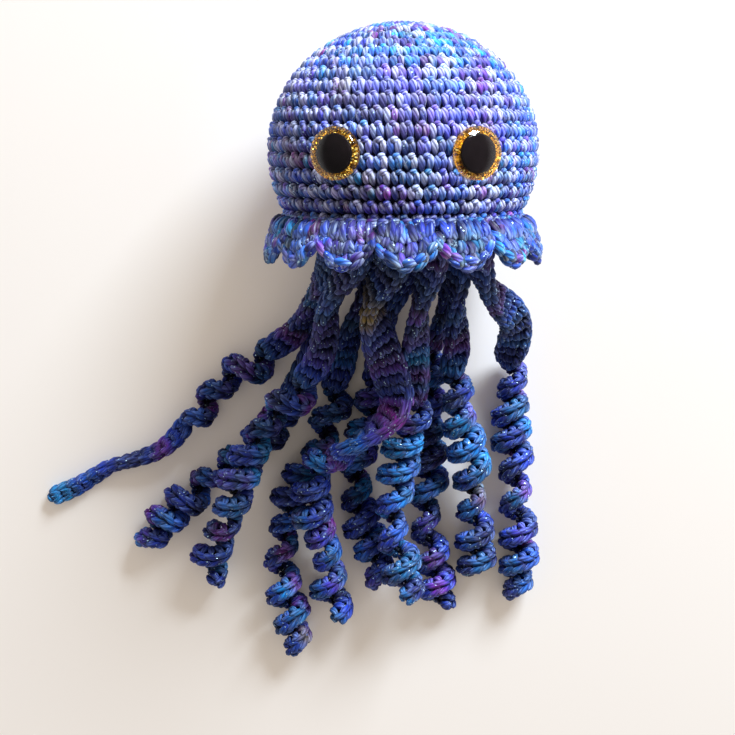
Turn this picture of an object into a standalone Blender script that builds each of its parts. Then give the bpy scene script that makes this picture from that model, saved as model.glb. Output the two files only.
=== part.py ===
"""Crocheted plush jellyfish, lying on its back with its face up and its curly tentacles spread out.

The bell-shaped head's axis runs along Y, with the crown towards +Y, the face towards +Z and the floor under
its back. The head is worked in rounds of single crochet, a scalloped ruffle hangs round its mouth, a
crocheted disc closes the mouth over the stuffing, and the tentacles are narrow strips that curl into
corkscrews. Sizes are in metres.
"""
import math

import bmesh
import bpy
from mathutils import Matrix, Vector

MM = 0.001
CLEARANCE = 0.3 * MM  # between pieces that touch
SHARP_ANGLE = math.radians(50)

# Head
HEAD_RADIUS = 38.0 * MM
CROWN_HEIGHT = 35.2 * MM  # from the widest round up to the crown
LOWER_HEIGHT = 37.7 * MM  # half height of the ellipse that the lower head follows
MOUTH_DROP = 21.0 * MM  # from the widest round down to the mouth
HEAD_WALL = 3.5 * MM
STITCH_WIDTH = 4.0 * MM
ROUND_HEIGHT = 4.13 * MM
STITCH_RELIEF = 1.0 * MM  # from the top of a stitch down to the groove between rounds
STITCHES_ADDED = 6  # in each round from the crown down
RIDGE_PLACE = 0.42  # share of a round's height at which its stitches stand highest
REST_FLAT = 2.0 * MM  # how far the head's back is pressed flat by its weight
PRESSED_WALL = 2.4 * MM  # wall left over the flat
INNER_SIDES = 20
INNER_RINGS = 8

# Underside and stuffing
UNDERSIDE_THICKNESS = 3.0 * MM
UNDERSIDE_BULGE = 1.2 * MM
UNDERSIDE_FLAT = 0.8  # share of its radius over which the underside is flat

# Ruffle
SCALLOPS = 14
SCALLOP_COLUMNS = 6
RUFFLE_THICKNESS = 2.9 * MM
RUFFLE_TOP_THICKNESS = 1.4 * MM
RUFFLE_TOP = 18.6 * MM  # below the widest round
RUFFLE_LENGTH = 11.6 * MM  # along the head's axis, at the middle of a scallop
RUFFLE_FLARE = 3.0 * MM  # how far the edge stands out past the top
SCALLOP_DEPTH = 6.2 * MM  # how far the notches between scallops reach back up
SCALLOP_WAVE = 1.5 * MM  # how far the notches lie in from the scallops' middles
PRESSED_SHARE = 0.8  # how thick the ruffle stays where the floor presses it

# Eyes
EYE_RADIUS = 7.0 * MM
EYE_ANGLE = math.radians(28.5)  # to each side of the face's middle
EYE_DROP = 0.6 * MM  # below the widest round
EYE_SINK = 0.6 * MM  # how far the back of the eye lies under the tops of the stitches
EYE_PRESS = 0.9 * MM  # how far past the eye's edge the stitches are pressed flat
LENS_HEIGHT = 4.3 * MM
LENS_EDGE = 1.0 * MM
LENS_SIDES = 20
LENS_STEPS = 5  # between the dome's top and its edge
IRIS_RADIUS = 6.7 * MM
IRIS_THICKNESS = 0.4 * MM
PUPIL_RADIUS = 4.8 * MM
PUPIL_EDGE = 0.5 * MM
PUPIL_CROWN = 0.5 * MM  # how far the pupil's middle stands over its edge
PUPIL_SHOULDER = 0.7  # share of the crown's height that is left at this share of the radius
POST_RADIUS = 2.0 * MM
POST_LENGTH = 12.0 * MM
POST_GROOVE = 0.35 * MM
POST_GROOVES = 2
POST_SIDES = 12
WASHER_RADIUS = 6.0 * MM
WASHER_THICKNESS = 1.2 * MM
WASHER_RIM = 4.2 * MM  # radius at which its cone meets its flat rim

# Tentacles: strips that run down from the underside and then wind round their own middle line
STRIP_WIDTH = 6.0 * MM
BROAD_STRIPS = {"tentacle_5": 8.5 * MM, "tentacle_10": 7.5 * MM}  # worked wider where they are straight
STRIP_THICKNESS = 3.4 * MM
CURL_RADIUS = 6.0 * MM
CURL_BORE = 0.5 * MM  # radius left open along the middle of a curl
CURL_PITCH = 8.0 * MM
CURL_THICKNESS = 4.8 * MM
CURL_RUN_IN = 9.0 * MM  # length over which a strip goes from straight to curled
CURL_WANDER = 1.9 * MM  # how far a loose curl's own axis strays from the middle line
WANDER_LENGTH = 5.5 * MM  # for one radian of that straying
SWAY_LENGTH = 14.0 * MM  # for one radian of the direction in which it strays
PITCH_SLACK = 0.34  # share of the turning that is lost where a curl is loosest
SLACK_LENGTH = 8.5 * MM  # for one radian of that loosening
STRIP_TWIST = 60.0  # turn of a straight strip for each metre, in radians
TURN_SECTIONS = 7
CURL_BEGUN = 0.1  # share of curl from which sections follow the turns
STRIP_SECTION_GAP = 8.5 * MM
STRIP_LEAD = 7.5 * MM  # straight out of the underside
TAIL_WIDTH = 3.4 * MM
TAIL_THICKNESS = 2.6 * MM
WALK_STEP = 0.25 * MM  # along a tentacle's middle line
EDGE_SHARE = 0.75  # how thick a strip's outer edge is, as a share of its middle

HEAD_CENTRE_HEIGHT = HEAD_RADIUS - REST_FLAT

# The route of each tentacle's middle line, in route units: its place on the underside (X, height over the floor),
# the points that it passes (X, how far below its root, height over the floor), and the lengths along it between
# which it is curled, with None where it curls to its end.
ROUTE_UNIT = 1.0 * MM
TENTACLES = {
    "tentacle_1": ((-20, 42), [(-25, 18.5, 26), (-31, 31.5, 12), (-43, 41.5, 6.8), (-55, 50.5, 6.1),
                               (-67, 63.5, 6.1), (-76, 71.5, 5.2), (-91, 76.5, 2.4), (-101, 82.5, 2.2),
                               (-110, 86.5, 2.2)], 58, 90),
    "tentacle_2": ((-16, 24), [(-24, 32.5, 7), (-31, 48.5, 6), (-43, 67.5, 6.1), (-58, 80.5, 6.1),
                               (-72, 90.5, 6.1), (-81, 100.5, 6.1)], 60, None),
    "tentacle_3": ((-13, 52), [(-21, 19.5, 38), (-23, 35.5, 28), (-31, 49.5, 22), (-42, 60.5, 19.6),
                               (-48, 72.5, 19.2), (-52, 83.5, 18), (-56, 95.5, 11.4), (-61, 110.5, 6.1)], 56, None),
    "tentacle_4": ((-6, 20), [(-15, 32.5, 7), (-19, 48.5, 6), (-24, 64.5, 6.4), (-32, 80.5, 6.1),
                              (-36, 96.5, 6.1), (-36, 115.5, 6.1), (-31, 134.5, 6.1)], 52, None),
    "tentacle_5": ((-3, 54), [(-9, 19.5, 42), (-6, 33.5, 35), (-3, 43.5, 30.5), (-1, 52.5, 28.2),
                              (-8, 60.5, 28.2), (-18, 67.5, 26), (-26, 74.5, 20.5), (-27, 90.5, 15),
                              (-23, 108.5, 8.2), (-21, 123.5, 6.1)], 84, None),
    "tentacle_6": ((5, 19), [(-5, 32.5, 7), (-7, 51.5, 6), (-11, 67.5, 6.4), (-14, 83.5, 6.1),
                             (-10, 99.5, 6.1), (-7, 113.5, 6.1)], 48, None),
    "tentacle_7": ((8, 54), [(5, 19.5, 42), (4, 35.5, 30), (4, 51.5, 21), (0, 68.5, 17.8),
                             (-1, 84.5, 15.2), (0, 100.5, 15), (2, 114.5, 15)], 60, None),
    "tentacle_8": ((15, 23), [(13, 29.5, 8), (9, 45.5, 7), (8, 60.5, 6.4), (9, 76.5, 6.1),
                              (10, 93.5, 6.1), (11, 106.5, 6.1), (12, 120.5, 6.1)], 38, None),
    "tentacle_9": ((16, 38), [(16, 21.5, 26), (17, 35.5, 19), (16, 47.5, 18), (19, 61.5, 17),
                              (23, 78.5, 12), (24, 95.5, 8), (24, 109.5, 7)], 46, None),
    "tentacle_10": ((20, 48), [(24, 16.5, 36), (34, 27.5, 22), (34, 38.5, 11), (33, 49.5, 6.6),
                               (35, 67.5, 6.1), (38, 86.5, 6.1), (38, 102.5, 6.1), (38, 117.5, 6.1)], 60, None),
}

YARN_COLOURS = {
    "head": (0.34, 0.40, 0.75),
    "ruffle": (0.20, 0.42, 0.86),
    "underside": (0.24, 0.27, 0.62),
    "tentacle": (0.25, 0.29, 0.68),
}


def new_collection(name):
    collection = bpy.data.collections.new(name)
    bpy.context.scene.collection.children.link(collection)
    return collection


def new_material(name, colour, roughness, metallic=0.0):
    material = bpy.data.materials.new(name)
    material.use_nodes = True
    shader = material.node_tree.nodes["Principled BSDF"]
    shader.inputs["Base Color"].default_value = (*colour, 1.0)
    shader.inputs["Roughness"].default_value = roughness
    shader.inputs["Metallic"].default_value = metallic
    return material


def add_object(name, mesh, collection, parent, material=None):
    """Puts a mesh into the scene as an object that follows the empty named parent."""
    obj = bpy.data.objects.new(name, mesh)
    collection.objects.link(obj)
    obj.parent = parent
    if material:
        mesh.materials.append(material)
    return obj


def add_empty(name, collection, location, rotation=None, parent=None):
    empty = bpy.data.objects.new(name, None)
    collection.objects.link(empty)
    empty.location = location
    if rotation:
        empty.rotation_euler = rotation.to_euler()
    empty.parent = parent
    return empty


def finish_mesh(bm, name):
    """Turns a bmesh into a mesh with its faces pointing out, shaded smooth across shallow edges."""
    bmesh.ops.recalc_face_normals(bm, faces=bm.faces)
    mesh = bpy.data.meshes.new(name)
    bm.to_mesh(mesh)
    bm.free()
    mesh.shade_smooth()
    mesh.set_sharp_from_angle(angle=SHARP_ANGLE)
    return mesh


def add_turned(name, profile, sides, collection, parent, material=None):
    """A profile of (radius, height) points, top to bottom down its outer side, turned round local Z."""
    bm = bmesh.new()
    verts = [bm.verts.new((radius, 0.0, height)) for radius, height in profile]
    closed = profile[0][0] > 0.0
    pairs = list(zip(verts, verts[1:] + verts[:1]))
    for first, second in pairs if closed else pairs[:-1]:
        bm.edges.new((first, second))
    mesh = bpy.data.meshes.new(name)
    bm.to_mesh(mesh)
    bm.free()
    obj = add_object(name, mesh, collection, parent, material)
    screw = obj.modifiers.new("Turn", "SCREW")
    screw.axis = "Z"
    screw.steps = sides
    screw.render_steps = sides
    screw.use_merge_vertices = True
    screw.merge_threshold = 0.01 * MM
    return obj


def add_cut(obj, cutter):
    cutter.hide_render = True
    cutter.display_type = "WIRE"
    cut = obj.modifiers.new("Cut " + cutter.name, "BOOLEAN")
    cut.operation = "DIFFERENCE"
    cut.object = cutter


# Head


def bell_outline(inset=0.0, samples=240):
    """Points (radius, height) from the crown down to the mouth, with the length along them."""
    points = []
    for k in range(samples + 1):
        turn = math.pi / 2 * k / samples
        points.append(((HEAD_RADIUS - inset) * math.sin(turn), (CROWN_HEIGHT - inset) * math.cos(turn)))
    last_turn = math.asin(MOUTH_DROP / LOWER_HEIGHT)
    for k in range(1, samples + 1):
        turn = last_turn * k / samples
        points.append((HEAD_RADIUS * math.cos(turn) - inset, -LOWER_HEIGHT * math.sin(turn)))
    lengths = [0.0]
    for first, second in zip(points, points[1:]):
        lengths.append(lengths[-1] + math.dist(first, second))
    return points, lengths


def outline_point(outline, length):
    """The point at a length along an outline, and the unit normal that points out there."""
    points, lengths = outline
    length = min(max(length, 0.0), lengths[-1])
    k = 1
    while k < len(points) - 1 and lengths[k] < length:
        k += 1
    share = (length - lengths[k - 1]) / (lengths[k] - lengths[k - 1])
    (r0, h0), (r1, h1) = points[k - 1], points[k]
    along = Vector((r1 - r0, h1 - h0)).normalized()
    return Vector((r0 + (r1 - r0) * share, h0 + (h1 - h0) * share)), Vector((-along.y, along.x))


def stitch_counts(outline):
    """Stitches in each round: they grow by the same number until the width asks for no more."""
    rounds = round(outline[1][-1] / ROUND_HEIGHT)
    height = outline[1][-1] / rounds
    counts = []
    for k in range(rounds):
        radius = outline_point(outline, (k + 0.5) * height)[0].x
        wanted = STITCHES_ADDED * max(1, round(2 * math.pi * radius / (STITCH_WIDTH * STITCHES_ADDED)))
        counts.append(min(wanted, STITCHES_ADDED * (k + 1)))
    return counts, height


def head_ring(bm, place, count, phase):
    """Vertices round the head's axis at (radius, height), each with its share of a turn."""
    ring = []
    for k in range(count):
        share = (k + phase) / count
        angle = 2 * math.pi * share
        ring.append((share, bm.verts.new((place.x * math.sin(angle), place.y, place.x * math.cos(angle)))))
    return ring


def zip_rings(bm, upper, lower):
    """Joins two rings of unlike counts with triangles, going round both in step."""
    i = j = 0
    while i < len(upper) or j < len(lower):
        next_upper = upper[(i + 1) % len(upper)][0] + (1.0 if i + 1 >= len(upper) else 0.0)
        next_lower = lower[(j + 1) % len(lower)][0] + (1.0 if j + 1 >= len(lower) else 0.0)
        a = upper[i % len(upper)][1]
        b = lower[j % len(lower)][1]
        if j >= len(lower) or (i < len(upper) and next_upper <= next_lower):
            bm.faces.new((a, b, upper[(i + 1) % len(upper)][1]))
            i += 1
        else:
            bm.faces.new((a, b, lower[(j + 1) % len(lower)][1]))
            j += 1


def close_ring(bm, ring, place):
    """Closes a ring with a fan round one point."""
    tip = bm.verts.new((0.0, place, 0.0))
    for k, (share, vert) in enumerate(ring):
        bm.faces.new((tip, vert, ring[(k + 1) % len(ring)][1]))
    return tip


def inner_surface(bm, clearance, lowest):
    """The head's plain inner wall, a clearance further in, down to a height; gives its last ring."""
    inner = bell_outline(HEAD_WALL + clearance)
    rings = []
    for k in range(1, INNER_RINGS + 1):
        place = outline_point(inner, inner[1][-1] * k / INNER_RINGS)[0]
        place.y = max(place.y, lowest)
        rings.append(head_ring(bm, place, INNER_SIDES, 0.0))
    tip = close_ring(bm, rings[0], CROWN_HEIGHT - HEAD_WALL - clearance)
    for upper, lower in zip(rings, rings[1:]):
        zip_rings(bm, upper, lower)
    for vert in [tip] + [vert for ring in rings for share, vert in ring]:
        vert.co.z = max(vert.co.z, PRESSED_WALL + clearance - HEAD_CENTRE_HEIGHT)
    return rings[-1]


def eye_direction(side):
    return Vector((side * math.sin(EYE_ANGLE), 0.0, math.cos(EYE_ANGLE)))


def eye_seat(side):
    """Middle of the back of an eye, from the head's centre."""
    return eye_direction(side) * (HEAD_RADIUS - EYE_SINK) + Vector((0.0, -EYE_DROP, 0.0))


def press_under_eyes(verts):
    """Presses the stitches behind each eye flat, a clearance away from the eye's back."""
    for side in (-1, 1):
        direction = eye_direction(side)
        seat = eye_seat(side)
        for vert in verts:
            offset = vert.co - seat
            height = offset.dot(direction)
            if (offset - direction * height).length < EYE_RADIUS + EYE_PRESS and height > -CLEARANCE:
                vert.co -= direction * (height + CLEARANCE)


def build_head(collection, cutters, parent):
    """The bell: rounds of stitches outside, a plain wall inside, open at the mouth."""
    outline = bell_outline()
    counts, height = stitch_counts(outline)
    bm = bmesh.new()
    rings = []
    for k, count in enumerate(counts):
        if k:
            groove, normal = outline_point(outline, k * height)
            rings.append(head_ring(bm, groove - normal * STITCH_RELIEF, count, 0.0))
        ridge = outline_point(outline, (k + RIDGE_PLACE) * height)[0]
        rings.append(head_ring(bm, ridge, count, 0.5))
    groove, normal = outline_point(outline, outline[1][-1])
    rings.append(head_ring(bm, groove - normal * STITCH_RELIEF / 2, counts[-1], 0.0))
    close_ring(bm, rings[0], CROWN_HEIGHT - STITCH_RELIEF)
    for upper, lower in zip(rings, rings[1:]):
        zip_rings(bm, upper, lower)
    outer_verts = list(bm.verts)

    press_under_eyes(outer_verts)
    for vert in outer_verts:
        vert.co.z = max(vert.co.z, -HEAD_CENTRE_HEIGHT)
    zip_rings(bm, rings[-1], inner_surface(bm, 0.0, -MOUTH_DROP))
    material = new_material("head_yarn", YARN_COLOURS["head"], 0.6)
    head = add_object("head", finish_mesh(bm, "head"), collection, parent, material)
    for side, name in ((-1, "left"), (1, "right")):
        bm = bmesh.new()
        turn = eye_direction(side).to_track_quat("Z", "Y").to_matrix().to_4x4()
        bmesh.ops.create_cone(bm, cap_ends=True, segments=POST_SIDES, radius1=POST_RADIUS + CLEARANCE,
                              radius2=POST_RADIUS + CLEARANCE, depth=4 * HEAD_WALL,
                              matrix=Matrix.Translation(eye_seat(side)) @ turn)
        add_cut(head, add_object("post_hole_" + name, finish_mesh(bm, "post_hole"), cutters, parent))
    return head


def build_underside(collection, parent):
    """The crocheted disc that closes the mouth, slightly domed by the stuffing."""
    radius = bell_outline(HEAD_WALL)[0][-1][0] * math.cos(math.pi / INNER_SIDES) - CLEARANCE
    top = -MOUTH_DROP + UNDERSIDE_THICKNESS
    profile = [(0.0, top - UNDERSIDE_BULGE), (radius, top), (radius, -MOUTH_DROP),
               (UNDERSIDE_FLAT * radius, -MOUTH_DROP - UNDERSIDE_BULGE), (0.0, -MOUTH_DROP - UNDERSIDE_BULGE)]
    material = new_material("underside_yarn", YARN_COLOURS["underside"], 0.6)
    disc = add_turned("underside", profile, INNER_SIDES, collection, parent, material)
    disc.rotation_euler = (-math.pi / 2, 0.0, 0.0)
    return disc


def washer_top():
    """Height of the washer's upper face on an eye's own axis, under the wall that it grips."""
    radius = HEAD_RADIUS - HEAD_WALL
    half_segment = bell_outline(HEAD_WALL)[1][-1] / INNER_RINGS / radius / 2
    reach = radius * math.cos(math.pi / INNER_SIDES) * math.cos(half_segment)
    return math.sqrt(reach ** 2 - WASHER_RADIUS ** 2) - CLEARANCE - (HEAD_RADIUS - EYE_SINK)


def build_stuffing(collection, cutters, parent):
    """The fibre filling, with pockets round the two eye posts and their washers."""
    bottom = -MOUTH_DROP + UNDERSIDE_THICKNESS + CLEARANCE
    bm = bmesh.new()
    close_ring(bm, inner_surface(bm, CLEARANCE, bottom), bottom)
    material = new_material("stuffing_fibre", (0.93, 0.93, 0.92), 0.9)
    stuffing = add_object("stuffing", finish_mesh(bm, "stuffing"), collection, parent, material)
    pocket_depth = POST_LENGTH + 2 * CLEARANCE
    for side, name in ((-1, "left"), (1, "right")):
        bm = bmesh.new()
        turn = eye_direction(side).to_track_quat("Z", "Y").to_matrix().to_4x4()
        middle = Matrix.Translation((0.0, 0.0, -pocket_depth / 2))
        bmesh.ops.create_cone(bm, cap_ends=True, segments=POST_SIDES, radius1=WASHER_RADIUS + 2 * CLEARANCE,
                              radius2=WASHER_RADIUS + 2 * CLEARANCE, depth=pocket_depth,
                              matrix=Matrix.Translation(eye_seat(side)) @ turn @ middle)
        add_cut(stuffing, add_object("washer_pocket_" + name, finish_mesh(bm, "pocket"), cutters, parent))
    return stuffing


# Ruffle


def ruffle_point(turn, drop_share, depth):
    """A point of the ruffle: drop_share runs from its top to its edge, and depth lies in from its outer side."""
    scallop = abs(math.cos(turn * SCALLOPS / 2))
    drop = RUFFLE_TOP + drop_share * (RUFFLE_LENGTH - SCALLOP_DEPTH * (1.0 - scallop))
    collar = HEAD_RADIUS * math.sqrt(1.0 - (RUFFLE_TOP / LOWER_HEIGHT) ** 2) + CLEARANCE
    radius = collar + RUFFLE_THICKNESS - depth
    radius += drop_share * (RUFFLE_FLARE - SCALLOP_WAVE * (1.0 - scallop))
    point = Vector((radius * math.sin(turn), -drop, radius * math.cos(turn)))
    point.z = max(point.z, PRESSED_SHARE * depth - HEAD_CENTRE_HEIGHT)
    return point


def build_ruffle(collection, parent):
    """A ring of scallops round the mouth: six loops of vertices make its closed section."""
    columns = SCALLOPS * SCALLOP_COLUMNS
    section = [(0.0, RUFFLE_THICKNESS - RUFFLE_TOP_THICKNESS), (0.5, 0.0), (1.0, 0.0),
               (1.0, RUFFLE_THICKNESS), (0.5, RUFFLE_THICKNESS), (0.0, RUFFLE_THICKNESS)]
    bm = bmesh.new()
    loops = []
    for drop_share, depth in section:
        loops.append([bm.verts.new(ruffle_point(2 * math.pi * k / columns, drop_share, depth))
                      for k in range(columns)])
    for first, second in zip(loops, loops[1:] + loops[:1]):
        for k in range(columns):
            after = (k + 1) % columns
            bm.faces.new((first[k], first[after], second[after], second[k]))
    material = new_material("ruffle_yarn", YARN_COLOURS["ruffle"], 0.55)
    return add_object("ruffle", finish_mesh(bm, "ruffle"), collection, parent, material)


# Eyes


def lens_profile():
    """A clear dome that sits on the iris and clears the pupil underneath."""
    base = IRIS_THICKNESS + CLEARANCE
    shoulder = base + LENS_EDGE
    recess = base + PUPIL_EDGE + PUPIL_CROWN + CLEARANCE
    profile = []
    for k in range(LENS_STEPS + 1):
        turn = math.pi / 2 * k / LENS_STEPS
        profile.append((EYE_RADIUS * math.sin(turn), shoulder + (LENS_HEIGHT - shoulder) * math.cos(turn)))
    profile += [(EYE_RADIUS, base), (PUPIL_RADIUS + CLEARANCE, base),
                (PUPIL_RADIUS + CLEARANCE, base + PUPIL_EDGE + CLEARANCE), (0.0, recess)]
    return profile


def pupil_profile():
    """The black pupil with its grooved post in one piece."""
    base = IRIS_THICKNESS + CLEARANCE
    profile = [(0.0, base + PUPIL_EDGE + PUPIL_CROWN),
               (PUPIL_RADIUS * PUPIL_SHOULDER, base + PUPIL_EDGE + PUPIL_CROWN * PUPIL_SHOULDER),
               (PUPIL_RADIUS, base + PUPIL_EDGE), (PUPIL_RADIUS, base), (POST_RADIUS, base)]
    first = washer_top() - WASHER_THICKNESS - CLEARANCE
    step = (POST_LENGTH + first) / (2 * POST_GROOVES + 1)
    for k in range(POST_GROOVES):
        top = first - (2 * k + 0.5) * step
        profile += [(POST_RADIUS, top), (POST_RADIUS - POST_GROOVE, top - step / 2), (POST_RADIUS, top - step)]
    profile += [(POST_RADIUS, -POST_LENGTH + POST_RADIUS / 2), (POST_RADIUS / 2, -POST_LENGTH), (0.0, -POST_LENGTH)]
    return profile


def build_eye(side, name, collection, parent):
    """One safety eye: lens, glitter iris, pupil with its post, and the washer inside the head."""
    turn = eye_direction(side).to_track_quat("Z", "Y")
    axis = add_empty("eye_axis_" + name, collection, eye_seat(side), turn, parent)
    lens = new_material("lens_" + name, (0.95, 0.95, 0.93), 0.05)
    lens.node_tree.nodes["Principled BSDF"].inputs["Transmission Weight"].default_value = 1.0
    add_turned("eye_lens_" + name, lens_profile(), LENS_SIDES, collection, axis, lens)
    bore = POST_RADIUS + CLEARANCE
    iris = [(bore, IRIS_THICKNESS), (IRIS_RADIUS, IRIS_THICKNESS), (IRIS_RADIUS, 0.0), (bore, 0.0)]
    add_turned("eye_iris_" + name, iris, LENS_SIDES, collection, axis,
               new_material("glitter_" + name, (0.80, 0.45, 0.05), 0.35, 0.6))
    add_turned("eye_pupil_" + name, pupil_profile(), POST_SIDES, collection, axis,
               new_material("pupil_" + name, (0.01, 0.01, 0.01), 0.15))
    top = washer_top()
    washer = [(bore, top - WASHER_THICKNESS / 2), (WASHER_RIM, top), (WASHER_RADIUS, top),
              (WASHER_RADIUS, top - WASHER_THICKNESS / 2), (WASHER_RIM, top - WASHER_THICKNESS),
              (bore, top - WASHER_THICKNESS)]
    add_turned("eye_washer_" + name, washer, POST_SIDES, collection, axis,
               new_material("washer_" + name, (0.85, 0.85, 0.83), 0.5))


# Tentacles


def smooth_route(points, step):
    """A curve through the points, as points about one step apart."""
    ends = [2 * points[0] - points[1]] + points + [2 * points[-1] - points[-2]]
    dense = []
    for a, b, c, d in zip(ends, ends[1:], ends[2:], ends[3:]):
        pieces = max(8, round((c - b).length / step))
        for k in range(pieces):
            t = k / pieces
            dense.append(0.5 * (2 * b + (c - a) * t + (2 * a - 5 * b + 4 * c - d) * t * t
                                + (3 * b - a - 3 * c + d) * t ** 3))
    dense.append(points[-1])
    return dense


def blend(value):
    """Goes smoothly from 0 to 1."""
    value = min(max(value, 0.0), 1.0)
    return value * value * (3.0 - 2.0 * value)


def wave(length, radian_length, phase):
    """Swings slowly between 0 and 1 along a length."""
    return 0.5 + 0.5 * math.sin(length / radian_length + phase)


def strip_shape(length, straight_width, curl_start, curl_end, phase):
    """How a strip lies at a length along its middle line: share of curl, stray, reach, width and thickness."""
    curl = blend((length - curl_start) / CURL_RUN_IN)
    after = blend((length - curl_end) / CURL_RUN_IN) if curl_end else 0.0
    curl *= 1.0 - after
    stray = CURL_WANDER * wave(length, WANDER_LENGTH, phase) * curl
    reach = CURL_RADIUS - stray
    width = straight_width + (reach - CURL_BORE - straight_width) * curl
    thickness = STRIP_THICKNESS + (CURL_THICKNESS - STRIP_THICKNESS) * curl
    width += (TAIL_WIDTH - width) * after
    thickness += (TAIL_THICKNESS - thickness) * after
    return curl, stray, reach, width, thickness


def strip_sections(base, route, straight_width, curl_start, curl_end):
    """Sections of one strip: each has its centre, the directions of its width and thickness, and its size.

    Its curls are loose in a way of its own, set by where it is sewn on.
    """
    floor = Vector((0.0, 0.0, HEAD_CENTRE_HEIGHT))
    root_drop = MOUTH_DROP + UNDERSIDE_BULGE + CLEARANCE
    start = Vector((base[0] * ROUTE_UNIT, -root_drop, base[1] * ROUTE_UNIT)) - floor
    points = [start, start - Vector((0.0, STRIP_LEAD, 0.0))]
    for across, drop, height in route:
        points.append(Vector((across * ROUTE_UNIT, -root_drop - drop * ROUTE_UNIT, height * ROUTE_UNIT)) - floor)
    middle = smooth_route(points, WALK_STEP)
    curl_start *= ROUTE_UNIT
    curl_end = curl_end and curl_end * ROUTE_UNIT
    phase = float(base[0])
    across = Vector((1.0, 0.0, 0.0))
    length = turn = last_turn = last_length = 0.0
    sections = []
    for k, place in enumerate(middle):
        along = (middle[min(k + 1, len(middle) - 1)] - middle[max(k - 1, 0)]).normalized()
        across = (across - along * across.dot(along)).normalized()
        other = along.cross(across)
        step = (place - middle[k - 1]).length if k else 0.0
        length += step
        curl, stray, reach, width, thickness = strip_shape(length, straight_width, curl_start, curl_end, phase)
        turning = 2 * math.pi / CURL_PITCH * (1.0 - PITCH_SLACK * wave(length, SLACK_LENGTH, phase))
        turn += step * (STRIP_TWIST * (1.0 - curl) + turning * curl)
        outward = across * math.cos(turn) + other * math.sin(turn)
        sideways = other * math.cos(turn) - across * math.sin(turn)
        offset = curl * (reach + CURL_BORE) / 2
        run = (along + sideways * (turning * offset * curl)).normalized()
        sway = length / SWAY_LENGTH + phase
        axis = place + (across * math.cos(sway) + other * math.sin(sway)) * stray
        ends = k in (0, len(middle) - 1)
        turned = curl > CURL_BEGUN and turn - last_turn >= 2 * math.pi / TURN_SECTIONS
        if ends or turned or length - last_length >= STRIP_SECTION_GAP:
            last_turn = turn
            last_length = length
            sections.append((axis + outward * offset, outward, run.cross(outward), width, thickness))
    return sections


def build_tentacle(name, facts, collection, parent, material):
    """Lofts four-cornered sections, thinner at the outer edge, into one closed strip."""
    base, route, curl_start, curl_end = facts
    straight_width = BROAD_STRIPS.get(name, STRIP_WIDTH)
    bm = bmesh.new()
    rings = []
    for centre, outward, normal, width, thickness in strip_sections(base, route, straight_width,
                                                                    curl_start, curl_end):
        half = width / 2
        corners = ((half, EDGE_SHARE), (half, -EDGE_SHARE), (-half, -1.0), (-half, 1.0))
        rings.append([bm.verts.new(centre + outward * reach + normal * (share * thickness / 2))
                      for reach, share in corners])
    for first, second in zip(rings, rings[1:]):
        for k in range(4):
            bm.faces.new((first[k], first[(k + 1) % 4], second[(k + 1) % 4], second[k]))
    bm.faces.new(rings[0])
    bm.faces.new(rings[-1][::-1])
    return add_object(name, finish_mesh(bm, name), collection, parent, material)


def box_of(objects):
    """Lowest and highest corners of the finished pieces."""
    bpy.context.view_layer.update()
    depsgraph = bpy.context.evaluated_depsgraph_get()
    corners = []
    for obj in objects:
        finished = obj.evaluated_get(depsgraph)
        corners += [finished.matrix_world @ vert.co for vert in finished.data.vertices]
    lowest = Vector([min(corner[k] for corner in corners) for k in range(3)])
    highest = Vector([max(corner[k] for corner in corners) for k in range(3)])
    return lowest, highest


def main():
    for obj in list(bpy.data.objects):
        bpy.data.objects.remove(obj, do_unlink=True)
    pieces = new_collection("plush_jellyfish")
    cutters = new_collection("cutters")
    head_axis = add_empty("head_axis", pieces, (0.0, 0.0, 0.0))

    build_head(pieces, cutters, head_axis)
    build_underside(pieces, head_axis)
    build_stuffing(pieces, cutters, head_axis)
    build_ruffle(pieces, head_axis)
    for side, name in ((-1, "left"), (1, "right")):
        build_eye(side, name, pieces, head_axis)
    tentacle_yarn = new_material("tentacle_yarn", YARN_COLOURS["tentacle"], 0.6)
    for name, facts in TENTACLES.items():
        build_tentacle(name, facts, pieces, head_axis, tentacle_yarn)

    solids = [obj for obj in pieces.objects if obj.type == "MESH"]
    lowest, highest = box_of(solids)
    head_axis.location = (-(lowest.x + highest.x) / 2, -(lowest.y + highest.y) / 2, -lowest.z)


main()
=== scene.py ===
"""Crocheted plush jellyfish, dressed stitch by stitch over its solid model."""
import math

import bmesh
import bpy
import numpy
from bpy.props import FloatProperty, FloatVectorProperty, IntProperty, PointerProperty
from mathutils import Matrix, Vector


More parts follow.
